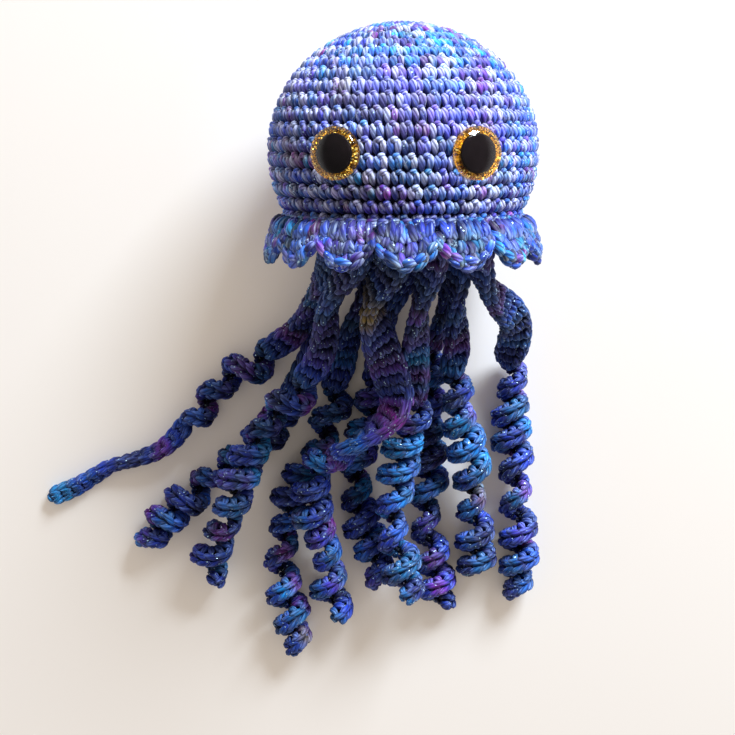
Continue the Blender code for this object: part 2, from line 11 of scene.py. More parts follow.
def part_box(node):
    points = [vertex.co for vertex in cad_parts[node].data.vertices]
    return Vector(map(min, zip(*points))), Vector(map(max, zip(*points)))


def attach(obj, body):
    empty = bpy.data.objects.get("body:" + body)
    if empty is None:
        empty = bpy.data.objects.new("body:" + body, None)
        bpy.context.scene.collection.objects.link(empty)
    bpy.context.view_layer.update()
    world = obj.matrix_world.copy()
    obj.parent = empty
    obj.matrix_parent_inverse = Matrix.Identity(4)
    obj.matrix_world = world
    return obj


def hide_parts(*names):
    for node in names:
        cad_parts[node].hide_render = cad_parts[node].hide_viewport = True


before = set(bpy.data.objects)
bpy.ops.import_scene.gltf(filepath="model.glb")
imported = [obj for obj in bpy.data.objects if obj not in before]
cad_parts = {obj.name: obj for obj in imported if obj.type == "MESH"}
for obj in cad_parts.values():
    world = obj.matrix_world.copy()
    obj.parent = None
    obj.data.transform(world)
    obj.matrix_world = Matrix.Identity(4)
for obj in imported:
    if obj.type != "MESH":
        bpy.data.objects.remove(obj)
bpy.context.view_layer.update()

bl_info = {
    "name": "Crocheted Jellyfish",
    "version": (1, 0, 0),
    "blender": (4, 5, 0),
    "location": "3D View > Sidebar > Jellyfish",
    "description": "Crochets a plush jellyfish leg of yarn by leg of yarn",
    "category": "Object",
}

MM = 0.001

# Sizes in millimetres. Those that the solid model has too are the same there
HEAD_RADIUS = 38.0
CROWN_HEIGHT = 35.2
LOWER_HEIGHT = 37.7
MOUTH_DROP = 21.0
ROUND_HEIGHT = 4.13
STITCH_WIDTH = 4.0
STITCHES_ADDED = 6
HEAD_CENTRE_HEIGHT = 36.0
UNDERSIDE_THICKNESS = 3.0
UNDERSIDE_BULGE = 1.2
UNDERSIDE_RADIUS = 27.4
SEAM_WIDTH = 2.0
SCALLOPS = 14
RUFFLE_THICKNESS = 2.9
RUFFLE_TOP = 18.6
RUFFLE_LENGTH = 11.6
RUFFLE_FLARE = 3.0
SCALLOP_DEPTH = 6.2
SCALLOP_WAVE = 1.5
EYE_RADIUS = 7.0
EYE_ANGLE = math.radians(28.5)
EYE_DROP = 0.6
EYE_SINK = 0.6
LENS_HEIGHT = 4.3
LENS_EDGE = 1.0
BOND = 0.02
IRIS_RADIUS = 6.7
IRIS_THICKNESS = 0.4
PUPIL_RADIUS = 4.8
POST_RADIUS = 2.0
POST_LENGTH = 12.0
CLEARANCE = 0.3
STRIP_WIDTH = 6.0
BROAD_STRIPS = {"tentacle_5": 8.5, "tentacle_10": 7.5}
STRIP_THICKNESS = 3.4
STRIP_TWIST = 0.06  # radians for each millimetre
STRIP_LEAD = 7.5
CURL_RADIUS = 6.0
CURL_BORE = 0.5
CURL_PITCH = 8.0
CURL_THICKNESS = 4.8
CURL_RUN_IN = 9.0
CURL_WANDER = 1.9
WANDER_LENGTH = 5.5
SWAY_LENGTH = 14.0
PITCH_SLACK = 0.34
SLACK_LENGTH = 8.5
TAIL_WIDTH = 3.4
TAIL_THICKNESS = 2.6
WALK_STEP = 0.25

# The route of each tentacle's middle line, in millimetres: its place on the underside (X, height over the
# floor), the points that it passes (X, how far below its root, height over the floor), and the lengths
# along it between which it is curled, with None where it curls to its end
TENTACLES = {
    "tentacle_1": ((-20, 42), [(-25, 18.5, 26), (-31, 31.5, 12), (-43, 41.5, 6.8), (-55, 50.5, 6.1),
        (-67, 63.5, 6.1), (-76, 71.5, 5.2), (-91, 76.5, 2.4), (-101, 82.5, 2.2),
        (-110, 86.5, 2.2)], 58, 90),
    "tentacle_2": ((-16, 24), [(-24, 32.5, 7), (-31, 48.5, 6), (-43, 67.5, 6.1), (-58, 80.5, 6.1),
        (-72, 90.5, 6.1), (-81, 100.5, 6.1)], 60, None),
    "tentacle_3": ((-13, 52), [(-21, 19.5, 38), (-23, 35.5, 28), (-31, 49.5, 22), (-42, 60.5, 19.6),
        (-48, 72.5, 19.2), (-52, 83.5, 18), (-56, 95.5, 11.4), (-61, 110.5, 6.1)], 56, None),
    "tentacle_4": ((-6, 20), [(-15, 32.5, 7), (-19, 48.5, 6), (-24, 64.5, 6.4), (-32, 80.5, 6.1),
        (-36, 96.5, 6.1), (-36, 115.5, 6.1), (-31, 134.5, 6.1)], 52, None),
    "tentacle_5": ((-3, 54), [(-9, 19.5, 42), (-6, 33.5, 35), (-3, 43.5, 30.5), (-1, 52.5, 28.2),
        (-8, 60.5, 28.2), (-18, 67.5, 26), (-26, 74.5, 20.5), (-27, 90.5, 15), (-23, 108.5, 8.2),
        (-21, 123.5, 6.1)], 84, None),
    "tentacle_6": ((5, 19), [(-5, 32.5, 7), (-7, 51.5, 6), (-11, 67.5, 6.4), (-14, 83.5, 6.1),
        (-10, 99.5, 6.1), (-7, 113.5, 6.1)], 48, None),
    "tentacle_7": ((8, 54), [(5, 19.5, 42), (4, 35.5, 30), (4, 51.5, 21), (0, 68.5, 17.8), (-1, 84.5, 15.2),
        (0, 100.5, 15), (2, 114.5, 15)], 60, None),
    "tentacle_8": ((15, 23), [(13, 29.5, 8), (9, 45.5, 7), (8, 60.5, 6.4), (9, 76.5, 6.1), (10, 93.5, 6.1),
        (11, 106.5, 6.1), (12, 120.5, 6.1)], 38, None),
    "tentacle_9": ((16, 38), [(16, 21.5, 26), (17, 35.5, 19), (16, 47.5, 18), (19, 61.5, 17), (23, 78.5, 12),
        (24, 95.5, 8), (24, 109.5, 7)], 46, None),
    "tentacle_10": ((20, 48), [(24, 16.5, 36), (34, 27.5, 22), (34, 38.5, 11), (33, 49.5, 6.6),
        (35, 67.5, 6.1), (38, 86.5, 6.1), (38, 102.5, 6.1), (38, 117.5, 6.1)], 60, None),
}


def head_centre():
    """The middle of the head, found from the disc that closes its mouth."""
    low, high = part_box("underside")
    height = high.y + (MOUTH_DROP - UNDERSIDE_THICKNESS) * MM
    return Vector(((low.x + high.x) / 2, height, (low.z + high.z) / 2))


# Settings that a maker would change


def colour_setting(name, description, default):
    return FloatVectorProperty(name=name, description=description, default=default, size=3, min=0.0, max=1.0,
                               subtype="COLOR_GAMMA")


class YarnSettings(bpy.types.PropertyGroup):
    """The hand-dyed yarn and how plump it is worked."""
    royal: colour_setting("Royal blue", "Main blue of the yarn", (0.12, 0.28, 0.78))
    cornflower: colour_setting("Cornflower", "Lighter blue of the yarn", (0.22, 0.53, 0.93))
    periwinkle: colour_setting("Periwinkle", "Blue on its way to lilac", (0.30, 0.43, 0.88))
    lilac: colour_setting("Lilac", "Palest dyed length", (0.62, 0.60, 0.92))
    violet: colour_setting("Violet", "Mid violet", (0.4, 0.26, 0.74))
    purple: colour_setting("Purple", "Deep purple accent", (0.62, 0.10, 0.66))
    cyan: colour_setting("Cyan", "Bright turquoise accent", (0.05, 0.7, 0.95))
    teal: colour_setting("Teal", "Deep turquoise", (0.05, 0.48, 0.68))
    navy: colour_setting("Navy", "Darkest dyed length", (0.08, 0.12, 0.44))
    gold: colour_setting("Gold", "Rare yellow length", (0.8, 0.68, 0.16))
    plumpness: FloatProperty(name="Plumpness", description="Width of a leg as a share of half a stitch",
                             default=1.02, min=0.6, max=1.4, subtype="FACTOR")
    leg_sides: IntProperty(name="Leg sides", description="Sides round one leg", default=8, min=6, max=12)
    leg_rings: IntProperty(name="Leg rings", description="Rings along one leg", default=7, min=5, max=12)


class EyeSettings(bpy.types.PropertyGroup):
    """The glitter safety eyes."""
    gold: colour_setting("Glitter", "Colour of the glitter enamel", (0.57, 0.36, 0.02))
    pupil: colour_setting("Pupil", "Colour of the pupil", (0.08, 0.06, 0.07))
    sides: IntProperty(name="Sides", description="Sides of an eye's pieces", default=64, min=24, max=128)
    flake: FloatProperty(name="Flake", description="Size of one glitter flake", default=0.26 * MM,
                         min=0.05 * MM, max=1.0 * MM, unit="LENGTH")


class StageSettings(bpy.types.PropertyGroup):
    """The pale floor, the soft light and the camera."""
    floor: colour_setting("Floor", "Colour of the floor", (0.96, 0.955, 0.955))
    fill: colour_setting("Fill", "Colour of the light from all round", (0.84, 0.80, 0.79))
    fill_strength: FloatProperty(name="Fill strength", description="Strength of the light from all round",
                                 default=0.75, min=0.0, max=10.0)
    key_power: FloatProperty(name="Key power", description="Power of the soft window light in watts",
                             default=20.0, min=0.0, max=100.0)
    lens: FloatProperty(name="Lens", description="Focal length of the camera in millimetres", default=70.38,
                        min=20.0, max=200.0)


# Shader fields


def joined(operation, reflected=False):
    """A method that joins a field and another value by one Math operation."""
    def join(self, other):
        first, second = (other, self) if reflected else (self, other)
        return self.nodes.sum(operation, first, second)
    return join


class Field:
    """A value in a node tree that joins in plain sums."""
    __add__ = joined("ADD")
    __radd__ = joined("ADD", reflected=True)
    __sub__ = joined("SUBTRACT")
    __rsub__ = joined("SUBTRACT", reflected=True)
    __mul__ = joined("MULTIPLY")
    __rmul__ = joined("MULTIPLY", reflected=True)

    def __init__(self, nodes, socket):
        self.nodes = nodes
        self.socket = socket


class Nodes:
    """The nodes of a material or of the world."""

    def __init__(self, tree):
        self.tree = tree

    def feed(self, socket, value):
        if isinstance(value, Field):
            self.tree.links.new(value.socket, socket)
        else:
            socket.default_value = value

    def node(self, kind, settings=None, inputs=None, output=0):
        """Adds a node: first its settings, then its inputs by name or place. Gives one of its outputs."""
        made = self.tree.nodes.new("ShaderNode" + kind)
        for name, value in (settings or {}).items():
            if name == "stops":
                self.set_stops(made.color_ramp, value)
            else:
                setattr(made, name, value)
        for name, value in (inputs or {}).items():
            self.feed(made.inputs[name], value)
        return Field(self, made.outputs[output])

    def set_stops(self, ramp, stops):
        while len(ramp.elements) < len(stops):
            ramp.elements.new(1.0)
        for element, (place, colour) in zip(ramp.elements, stops):
            element.position = place
            element.color = (*colour, 1.0)

    def sum(self, operation, first, second=0.0):
        return self.node("Math", {"operation": operation}, {0: first, 1: second})

    def between(self, value, low, high):
        """Goes smoothly from 0 at low to 1 at high."""
        return self.node("MapRange", {"interpolation_type": "SMOOTHSTEP"},
                         {"Value": value, "From Min": low, "From Max": high})

    def mix(self, share, first, second, blend="MIX"):
        inputs = {0: share, 6: first, 7: second}
        return self.node("Mix", {"data_type": "RGBA", "blend_type": blend}, inputs, 2)

    def vector(self, x, y, z):
        return self.node("CombineXYZ", inputs={0: x, 1: y, 2: z})

    def noise(self, place, scale, detail=2.0, rough=0.5):
        return self.node("TexNoise", inputs={"Vector": place, "Scale": scale, "Detail": detail,
                                             "Roughness": rough})


class Finish(Nodes):
    """One material and the nodes that make it."""

    def __init__(self, name):
        self.material = bpy.data.materials.new(name)
        self.material.use_nodes = True
        super().__init__(self.material.node_tree)
        self.shader = self.tree.nodes["Principled BSDF"]

    def grain(self, scale, detail=2.0, rough=0.5):
        """Noise that keeps its place on the object."""
        return self.noise(self.node("TexCoord", output="Object"), scale, detail, rough)

    def bump(self, height, strength, distance):
        """Relief from a height, with its distance in millimetres."""
        return self.node("Bump", inputs={"Strength": strength, "Distance": distance * MM, "Height": height})

    def put(self, **values):
        """Sets or feeds the main shader's sockets, with _ for a space, and gives the material."""
        for name, value in values.items():
            self.feed(self.shader.inputs[name.replace("_", " ")], value)
        return self.material

    def put_over(self, share, other):
        """Mixes another shader over the main one by a share."""
        main = Field(self, self.shader.outputs[0])
        surface = self.tree.nodes["Material Output"].inputs["Surface"]
        self.feed(surface, self.node("MixShader", inputs={0: share, 1: main, 2: other}))


def linear(colour):
    """A colour as it is seen, made linear for a shader."""
    return tuple(part / 12.92 if part <= 0.04045 else ((part + 0.055) / 1.055) ** 2.4 for part in colour)


def rgba(colour, scale=1.0):
    return (*[part * scale for part in linear(colour)], 1.0)


# Finishes


# The pale colour of a yarn's light fibre streaks and painted crest highlights, how strongly it shows, and the
# sheen weight. The streaks are partly the yarn's own pale fibres and partly painted sheen
YARN_LIGHTS = {
    "head_yarn": ((0.94, 0.95, 1.0), 0.92, 0.20),
    "ruffle_yarn": ((0.70, 0.86, 1.0), 0.84, 0.20),
    "tentacle_yarn": ((0.30, 0.45, 1.0), 0.68, 0.12),
}


def make_yarn(name):
    """Silky variegated yarn: slanted fibres in a loose twist, pale fibre streaks that are partly painted
    sheen, a few sparkling threads, painted shade in the ply grooves and at both ends of each leg, and a
    painted highlight towards each leg's top.
    """
    yarn = Finish(name)
    pale_tone, pale_share, sheen = YARN_LIGHTS[name]
    place = yarn.node("UVMap", {"uv_map": "yarn"})
    parts = yarn.node("SeparateXYZ", inputs={0: place})
    around = Field(yarn, parts.socket.node.outputs["X"])
    along = Field(yarn, parts.socket.node.outputs["Y"])
    strand = yarn.node("Attribute", {"attribute_name": "strand"}, output="Fac")
    tint = yarn.node("Attribute", {"attribute_name": "tint"}, output="Color")

    lay = around * 9.0 + along * 2.2
    fibres = yarn.noise(yarn.vector(lay, along * 0.9, strand * 57.0), 1.0, 3.0, 0.6)
    hairs = yarn.noise(yarn.vector(lay * 3.4, along * 1.7, strand * 91.0), 1.0, 2.0)
    dye = yarn.noise(yarn.vector(around * 1.3, along * 1.1, strand * 31.0), 1.6, 1.0)
    plies = yarn.sum("SINE", (around * 4.0 + along * 1.4) * (2 * math.pi)) * 0.5 + 0.5

    # painted shade: the ply grooves are mixed towards dark, a deep shade of the leg's own tint
    groove = yarn.between(1.0 - plies, 0.62, 1.0)
    light = yarn.between(fibres, 0.50, 0.70)
    dark = yarn.mix(1.0, tint, (0.10, 0.10, 0.22, 1.0), "MULTIPLY")
    pale = yarn.mix(pale_share, tint, (*pale_tone, 1.0))
    deep = yarn.mix(0.30, tint, tint, "MULTIPLY")
    shifted = yarn.mix(yarn.between(dye, 0.45, 0.75) * 0.28, deep, (0.05, 0.14, 0.52, 1.0))
    # painted highlight: the upper part of each leg is mixed towards the pale colour
    crest_highlight = yarn.between(along, 0.46, 0.86) * 0.85
    colour = yarn.mix(yarn.sum("MAXIMUM", light * 0.48, crest_highlight * (0.40 + light * 0.60)), shifted, pale)
    colour = yarn.mix(groove * 0.72 + yarn.between(1.0 - hairs, 0.50, 0.78) * 0.42, colour, dark)
    # painted shade: both ends of each leg, where they sink under other stitches, are mixed towards dark
    root = yarn.between(along, 0.50, 0.06)
    colour = yarn.mix(yarn.sum("MAXIMUM", root * 0.78, yarn.between(along, 0.93, 0.99) * 0.7), colour, dark)

    fleck_place = yarn.vector(around * 22.0, along * 16.0, strand * 43.0)
    flecks = yarn.node("TexVoronoi", {"feature": "F1"}, {"Vector": fleck_place, "Scale": 1.0}, "Color")
    sparkle = yarn.between(yarn.node("SeparateColor", inputs={0: flecks}), 0.988, 0.992)
    colour = yarn.mix(sparkle, colour, (0.62, 0.90, 1.0, 1.0))

    height = plies * 0.85 + fibres * 0.55 + hairs * 0.35
    return yarn.put(Base_Color=colour, Roughness=0.50 + hairs * 0.22 - sparkle * 0.25,
                    Metallic=sparkle * 0.5, Normal=yarn.bump(height, 0.9, 0.25), Specular_IOR_Level=0.42,
                    Sheen_Weight=sheen, Sheen_Roughness=0.35, Sheen_Tint=(0.76, 0.82, 1.0, 1.0))


def make_painted_shade_backing(name):
    """Near-black painted shade for the inside of the fabric, seen only between the legs of yarn."""
    backing = Finish(name)
    rough = backing.grain(900.0, 3.0)
    return backing.put(Base_Color=backing.mix(rough, (0.006, 0.007, 0.030, 1.0), (0.028, 0.026, 0.10, 1.0)),
                       Roughness=0.85, Normal=backing.bump(rough, 0.6, 0.4))


def make_fibre_fill(name):
    """Loose white polyester fibre."""
    fill = Finish(name)
    tufts = fill.grain(260.0, 4.0, 0.7)
    strands = fill.grain(1600.0, 3.0)
    return fill.put(Base_Color=fill.mix(tufts, (0.80, 0.80, 0.79, 1.0), (0.93, 0.93, 0.92, 1.0)),
                    Roughness=0.85 + strands * 0.1, Normal=fill.bump(tufts + strands * 0.3, 0.8, 1.0),
                    Sheen_Weight=0.4)


def make_washer_plastic(name):
    """Satin white moulded plastic with fine flow marks."""
    plastic = Finish(name)
    marks = plastic.grain(500.0)
    return plastic.put(Base_Color=plastic.mix(marks, (0.82, 0.82, 0.79, 1.0), (0.89, 0.89, 0.87, 1.0)),
                       Roughness=0.38 + marks * 0.18, Normal=plastic.bump(marks, 0.2, 0.1))


def make_pupil(name):
    """Glossy near-black plastic with a faint warm depth and polishing marks."""
    pupil = Finish(name)
    colour = bpy.context.scene.jellyfish_eyes.pupil
    marks = pupil.grain(300.0, 3.0)
    return pupil.put(Base_Color=pupil.mix(marks, rgba(colour, 0.6), rgba(colour, 1.5)),
                     Roughness=0.12 + marks * 0.08, Specular_IOR_Level=0.15)


def make_glitter(name):
    """Gold flakes in clear enamel, each flake at its own slant."""
    glitter = Finish(name)
    settings = bpy.context.scene.jellyfish_eyes
    place = glitter.node("TexCoord", output="Object")
    cells = glitter.node("TexVoronoi", {"feature": "F1"},
                         {"Vector": place, "Scale": 1.0 / settings.flake, "Randomness": 1.0}, "Color")
    first = glitter.node("SeparateColor", inputs={0: cells})
    second = glitter.node("SeparateColor", inputs={0: cells}, output=1)
    tones = ((0.0, (0.10, 0.04, 0.005)), (0.30, (0.34, 0.17, 0.012)), (0.55, settings.gold),
             (0.82, (0.84, 0.58, 0.08)), (0.94, (1.0, 0.90, 0.50)))
    flakes = glitter.node("ValToRGB", {"stops": [(stop, linear(tone)) for stop, tone in tones]},
                          {0: first * 0.8 + glitter.noise(place, 420.0) * 0.25})
    slant = glitter.node("VectorMath", {"operation": "SUBTRACT"}, {0: cells, 1: (0.5, 0.5, 0.5)})
    slant = glitter.node("VectorMath", {"operation": "SCALE"}, {0: slant, "Scale": 1.4})
    normal = glitter.node("NewGeometry", output="Normal")
    normal = glitter.node("VectorMath", {"operation": "ADD"}, {0: normal, 1: slant})
    normal = glitter.node("VectorMath", {"operation": "NORMALIZE"}, {0: normal})
    return glitter.put(Base_Color=flakes, Metallic=glitter.between(second, 0.35, 0.75) * 0.7,
                       Roughness=0.26 + second * 0.25, Normal=normal, Specular_IOR_Level=0.12)


def make_clear_dome(name):
    """Clear polished plastic, which bends the view of the glitter out to its edge and lets light in."""
    dome = Finish(name)
    marks = dome.grain(220.0)
    dome.put_over(dome.node("LightPath", output="Is Shadow Ray"),
                  dome.node("BsdfTransparent", inputs={"Color": (0.985, 0.98, 0.965, 1.0)}))
    return dome.put(Base_Color=(0.95, 0.90, 0.80, 1.0), Roughness=0.02 + marks * 0.02,
                    Transmission_Weight=1.0, IOR=1.49, Normal=dome.bump(marks, 0.015, 0.1))


GROUND_LIFT = 0.41  # share of plain warm white that the camera sees on the open floor
SHADE_REACH = 40.0  # millimetres within which other pieces take away the floor's camera lift: painted contact shade


def make_floor(name):
    """A plain pale table top with a faint grain, lifted for the camera, with the lift taken away near other
    pieces as painted contact shade.
    """
    floor = Finish(name)
    colour = bpy.context.scene.jellyfish_stage.floor
    # ambient occlusion cuts the camera's lift near other pieces: painted contact shade on the floor
    unshaded_share = floor.node("AmbientOcclusion", {"samples": 8}, {"Distance": SHADE_REACH * MM}, "AO")
    floor.put_over(floor.node("LightPath", output="Is Camera Ray") * unshaded_share * GROUND_LIFT,
                   floor.node("Emission", inputs={"Color": (1.0, 0.85, 0.67, 1.0), "Strength": 1.0}))
    return floor.put(Base_Color=floor.mix(floor.grain(40.0, 3.0), rgba(colour, 0.985), rgba(colour)),
                     Roughness=0.7, Specular_IOR_Level=0.2)


MAKERS = {
    "head_yarn": make_yarn, "ruffle_yarn": make_yarn, "tentacle_yarn": make_yarn,
    "yarn_backing": make_painted_shade_backing, "loose_fibre": make_fibre_fill, "washer_plastic": make_washer_plastic,
    "clear_plastic": make_clear_dome, "glitter": make_glitter, "black_plastic": make_pupil,
    "pale_floor": make_floor,
}
MADE = {}


def finish(name):
    """The finish with this name, made on its first use."""
    if name not in MADE:
        MADE[name] = MAKERS[name](name)
    return MADE[name]


# Yarn: every visible stitch is made of short fat legs of yarn


LIGHT_TONES = ("royal", "cornflower", "periwinkle", "violet", "royal", "cyan", "cornflower", "lilac",
               "cyan", "purple", "navy", "royal", "teal", "cornflower", "lilac", "violet")
BRIGHT_TONES = ("royal", "cornflower", "royal", "violet", "lilac", "royal", "violet", "navy", "cyan",
                "royal", "teal", "periwinkle", "royal", "purple", "cornflower", "royal")
DEEP_TONES = ("navy", "royal", "teal", "navy", "violet", "royal", "navy", "cyan", "royal", "navy", "purple",
              "teal", "royal", "navy", "cornflower", "royal")


# How the dye wanders: its table, the millimetres between its random values, and how many colours it moves by
DYE_SWINGS = ((0, 34.0, 20.0), (1, 7.0, 6.0), (2, 2.4, 2.5))
DYE_EDGE = 2.2  # how sharply one dye follows the next
TABLE_SIZE = 4096
DYE_REPEAT = 4000.0  # random values after which a dye starts again


class Dye:
    """Colours along a hand-dyed yarn. The same length in millimetres always has the same colour."""

    def __init__(self, seed, share_of_accents=1.0, names=LIGHT_TONES):
        yarn = bpy.context.scene.jellyfish_yarn
        self.stops = numpy.array([linear(getattr(yarn, name)) for name in names])
        self.gold = numpy.array(linear(yarn.gold))
        self.magenta = numpy.array(linear(yarn.purple)) * 1.5
        self.random = numpy.random.RandomState(seed)
        self.tables = [self.random.rand(TABLE_SIZE) for k in range(4)]
        self.accents = share_of_accents

    def level(self, table, place):
        place = place % DYE_REPEAT
        first = int(place)
        share = place - first
        share = share * share * (3.0 - 2.0 * share)
        values = self.tables[table]
        return values[first] * (1.0 - share) + values[first + 1] * share

    def at(self, run):
        place = sum(self.level(table, run / length) * reach for table, length, reach in DYE_SWINGS)
        first = int(place) % len(self.stops)
        share = min(max((place - int(place) - 0.5) * DYE_EDGE + 0.5, 0.0), 1.0)
        colour = self.stops[first] * (1.0 - share) + self.stops[(first + 1) % len(self.stops)] * share
        chance = self.level(3, run / 5.0)
        if chance > 1.0 - 0.05 * self.accents:
            colour = colour * 0.35 + self.magenta * 0.65
        elif chance < 0.010 * self.accents:
            colour = colour * 0.4 + self.gold * 0.6
        return colour


def mesh_of(bm, name):
    """Turns a bmesh into a mesh with this name, and frees it."""
    mesh = bpy.data.meshes.new(name)
    bm.to_mesh(mesh)
    bm.free()
    return mesh


def linked(name, data):
    """A new object in the scene."""
    obj = bpy.data.objects.new(name, data)
    bpy.context.scene.collection.objects.link(obj)
    return obj


def coordinates(mesh):
    """The places of a mesh's vertices."""
    flat = numpy.empty(len(mesh.vertices) * 3)
    mesh.vertices.foreach_get("co", flat)
    return flat.reshape(-1, 3)


def lay_out(mesh, places):
    """Moves a mesh's vertices to places in millimetres from the middle of the head."""
    mesh.vertices.foreach_set("co", (places * MM + numpy.array(head_centre())).ravel())


def running(steps):
    """The length at each point of a line, from the steps between its points."""
    return numpy.concatenate([[0.0], numpy.cumsum(steps)])


def made_unit(vectors):
    return vectors / numpy.maximum(numpy.linalg.norm(vectors, axis=2, keepdims=True), 1e-9)


def polar(radius, angle, height=0.0):
    """A point at a radius from the head's axis and a height along it, turned from the middle of the face."""
    return Vector((radius * math.sin(angle), height, radius * math.cos(angle)))


LEG_BLUNTNESS = 2.5  # 2 gives a leg of yarn the ends of an ellipse, and more makes them blunter


class Legs:
    """Legs of yarn that wait to be made into one piece."""

    def __init__(self):
        self.rows = []
        self.random = numpy.random.RandomState(5)

    def stray(self, reach):
        """A small random step."""
        return Vector(self.random.uniform(-reach, reach, 3))

    def add(self, start, bend, end, out, width, thickness, first_tint, last_tint):
        """A leg from start to end that bows towards bend, with out as the way that its front faces."""
        self.rows.append((*start, *bend, *end, *out, width, thickness, *first_tint, *last_tint))

    def make(self, name, material, sides, rings, fatter=0.0, shape=None):
        """Copies one template leg for each row, lays every copy along its own line, and gives the piece.

        Each leg is fatter by a share towards its end.
        """
        rows = numpy.array(self.rows)
        count = len(rows)
        mesh = copied_template(name, count, sides, rings)
        unit = coordinates(mesh)
        unit = unit[:len(unit) // count]
        along = unit[:, 2]
        radius = numpy.hypot(unit[:, 0], unit[:, 1])
        swell = (1.0 - numpy.abs(along) ** LEG_BLUNTNESS).clip(0.0) ** 0.5 * (1.0 + fatter * along)
        scale = numpy.where(radius > 1e-6, swell / numpy.maximum(radius, 1e-6), 0.0)
        share = ((along + 1.0) / 2.0)[None, :, None]

        start, bend, end, out = (rows[:, None, 3 * k:3 * k + 3] for k in range(4))
        centre = start * (1 - share) ** 2 + bend * 2 * share * (1 - share) + end * share ** 2
        run = made_unit((bend - start) * (1 - share) + (end - bend) * share)
        side = made_unit(numpy.cross(numpy.broadcast_to(out, run.shape), run))
        front = numpy.cross(run, side)
        places = centre + side * (unit[:, 0] * scale)[None, :, None] * rows[:, None, 12:13] / 2 \
            + front * (unit[:, 1] * scale)[None, :, None] * rows[:, None, 13:14] / 2
        places = places.reshape(-1, 3)
        lay_out(mesh, shape(places) if shape else places)

        tint = rows[:, None, 14:17] * (1 - share) + rows[:, None, 17:20] * share
        colours = numpy.ones((len(places), 4))
        colours[:, :3] = tint.reshape(-1, 3)
        mesh.color_attributes.new("tint", "FLOAT_COLOR", "POINT").data.foreach_set("color", colours.ravel())
        chances = numpy.random.RandomState(len(rows)).rand(count)
        strand = mesh.attributes.new("strand", "FLOAT", "POINT")
        strand.data.foreach_set("value", numpy.repeat(chances, len(along)))
        mesh.shade_smooth()
        mesh.update()
        return finished(name, mesh, material)


def copied_template(name, count, sides, rings):
    """A mesh of count equal legs, each a rounded form from -1 to 1 along Z with its own UV map."""
    def turn_of(place):
        return (math.atan2(place.y, place.x) / (2 * math.pi) + 0.25) % 1.0

    bm = bmesh.new()
    bmesh.ops.create_uvsphere(bm, u_segments=sides, v_segments=rings, radius=1.0)
    layer = bm.loops.layers.uv.new("yarn")
    for face in bm.faces:
        face_turn = turn_of(face.calc_center_median())
        for loop in face.loops:
            place = loop.vert.co
            at_pole = math.hypot(place.x, place.y) < 1e-6
            turn = face_turn if at_pole else turn_of(place)
            loop[layer].uv = (turn - round(turn - face_turn), (place.z + 1) / 2)
    template = mesh_of(bm, name + "_leg")
    carrier = linked(name + "_leg", template)
    copies = carrier.modifiers.new("Copies", "ARRAY")
    copies.use_relative_offset = False
    copies.count = count
    bpy.context.view_layer.update()
    mesh = bpy.data.meshes.new_from_object(carrier.evaluated_get(bpy.context.evaluated_depsgraph_get()))
    bpy.data.objects.remove(carrier, do_unlink=True)
    bpy.data.meshes.remove(template)
    mesh.name = name
    return mesh


def finished(name, mesh, material):
    """Puts a finished mesh on the root body as a piece."""
    obj = linked(name, mesh)
    mesh.materials.append(material)
    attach(obj, "root")
    return obj


def head_matrix():
    """Turns a profile's own Z to the head's axis, with its zero at the middle of the head."""
    return Matrix.Translation(head_centre()) @ Matrix.Rotation(-math.pi / 2, 4, "X")


def turned(name, profile, sides, matrix, material):
    """A profile of (radius, height) points in millimetres, spun round its own Z and placed by a matrix."""
    bm = bmesh.new()
    verts = [bm.verts.new((radius * MM, 0.0, height * MM)) for radius, height in profile]
    edges = [bm.edges.new(pair) for pair in zip(verts, verts[1:])]
    if profile[0][0] > 0.0:
        edges.append(bm.edges.new((verts[-1], verts[0])))
    bmesh.ops.spin(bm, geom=verts + edges, cent=(0, 0, 0), axis=(0, 0, 1), dvec=(0, 0, 0),
                   angle=2 * math.pi, steps=sides, use_merge=True, use_duplicate=False)
    bmesh.ops.remove_doubles(bm, verts=bm.verts, dist=1e-6)
    bmesh.ops.transform(bm, matrix=matrix, verts=bm.verts)
    bmesh.ops.recalc_face_normals(bm, faces=bm.faces)
    mesh = mesh_of(bm, name)
    mesh.shade_smooth()
    mesh.set_sharp_from_angle(angle=math.radians(40))
    return finished(name, mesh, material)


# Head


class Bell:
    """The head's outline: radius, height and outward normal by length from the crown down."""

    def __init__(self):
        turns = numpy.linspace(0.0, math.pi / 2, 200)
        lower = numpy.linspace(0.0, math.asin(MOUTH_DROP / LOWER_HEIGHT), 200)[1:]
        self.radii = numpy.concatenate([HEAD_RADIUS * numpy.sin(turns), HEAD_RADIUS * numpy.cos(lower)])
        self.heights = numpy.concatenate([CROWN_HEIGHT * numpy.cos(turns), -LOWER_HEIGHT * numpy.sin(lower)])
        steps = numpy.hypot(numpy.diff(self.radii), numpy.diff(self.heights))
        self.lengths = running(steps)
        self.rounds = round(self.lengths[-1] / ROUND_HEIGHT)
        self.height = self.lengths[-1] / self.rounds
        self.counts = []
        for k in range(self.rounds):
            wide = numpy.interp((k + 0.5) * self.height, self.lengths, self.radii)
            wanted = STITCHES_ADDED * max(1, round(2 * math.pi * wide / (STITCH_WIDTH * STITCHES_ADDED)))
            self.counts.append(min(wanted, STITCHES_ADDED * (k + 1)))

    def at(self, length, angle, depth=0.0):
        """A point on the head and the way out there."""
        near = (length, length - 0.5, length + 0.5)
        radius, inner, outer = (numpy.interp(place, self.lengths, self.radii) for place in near)
        height, before, after = (numpy.interp(place, self.lengths, self.heights) for place in near)
        run = Vector((outer - inner, after - before)).normalized()
        return polar(radius + depth * run.y, angle, height - depth * run.x), polar(-run.y, angle, run.x)


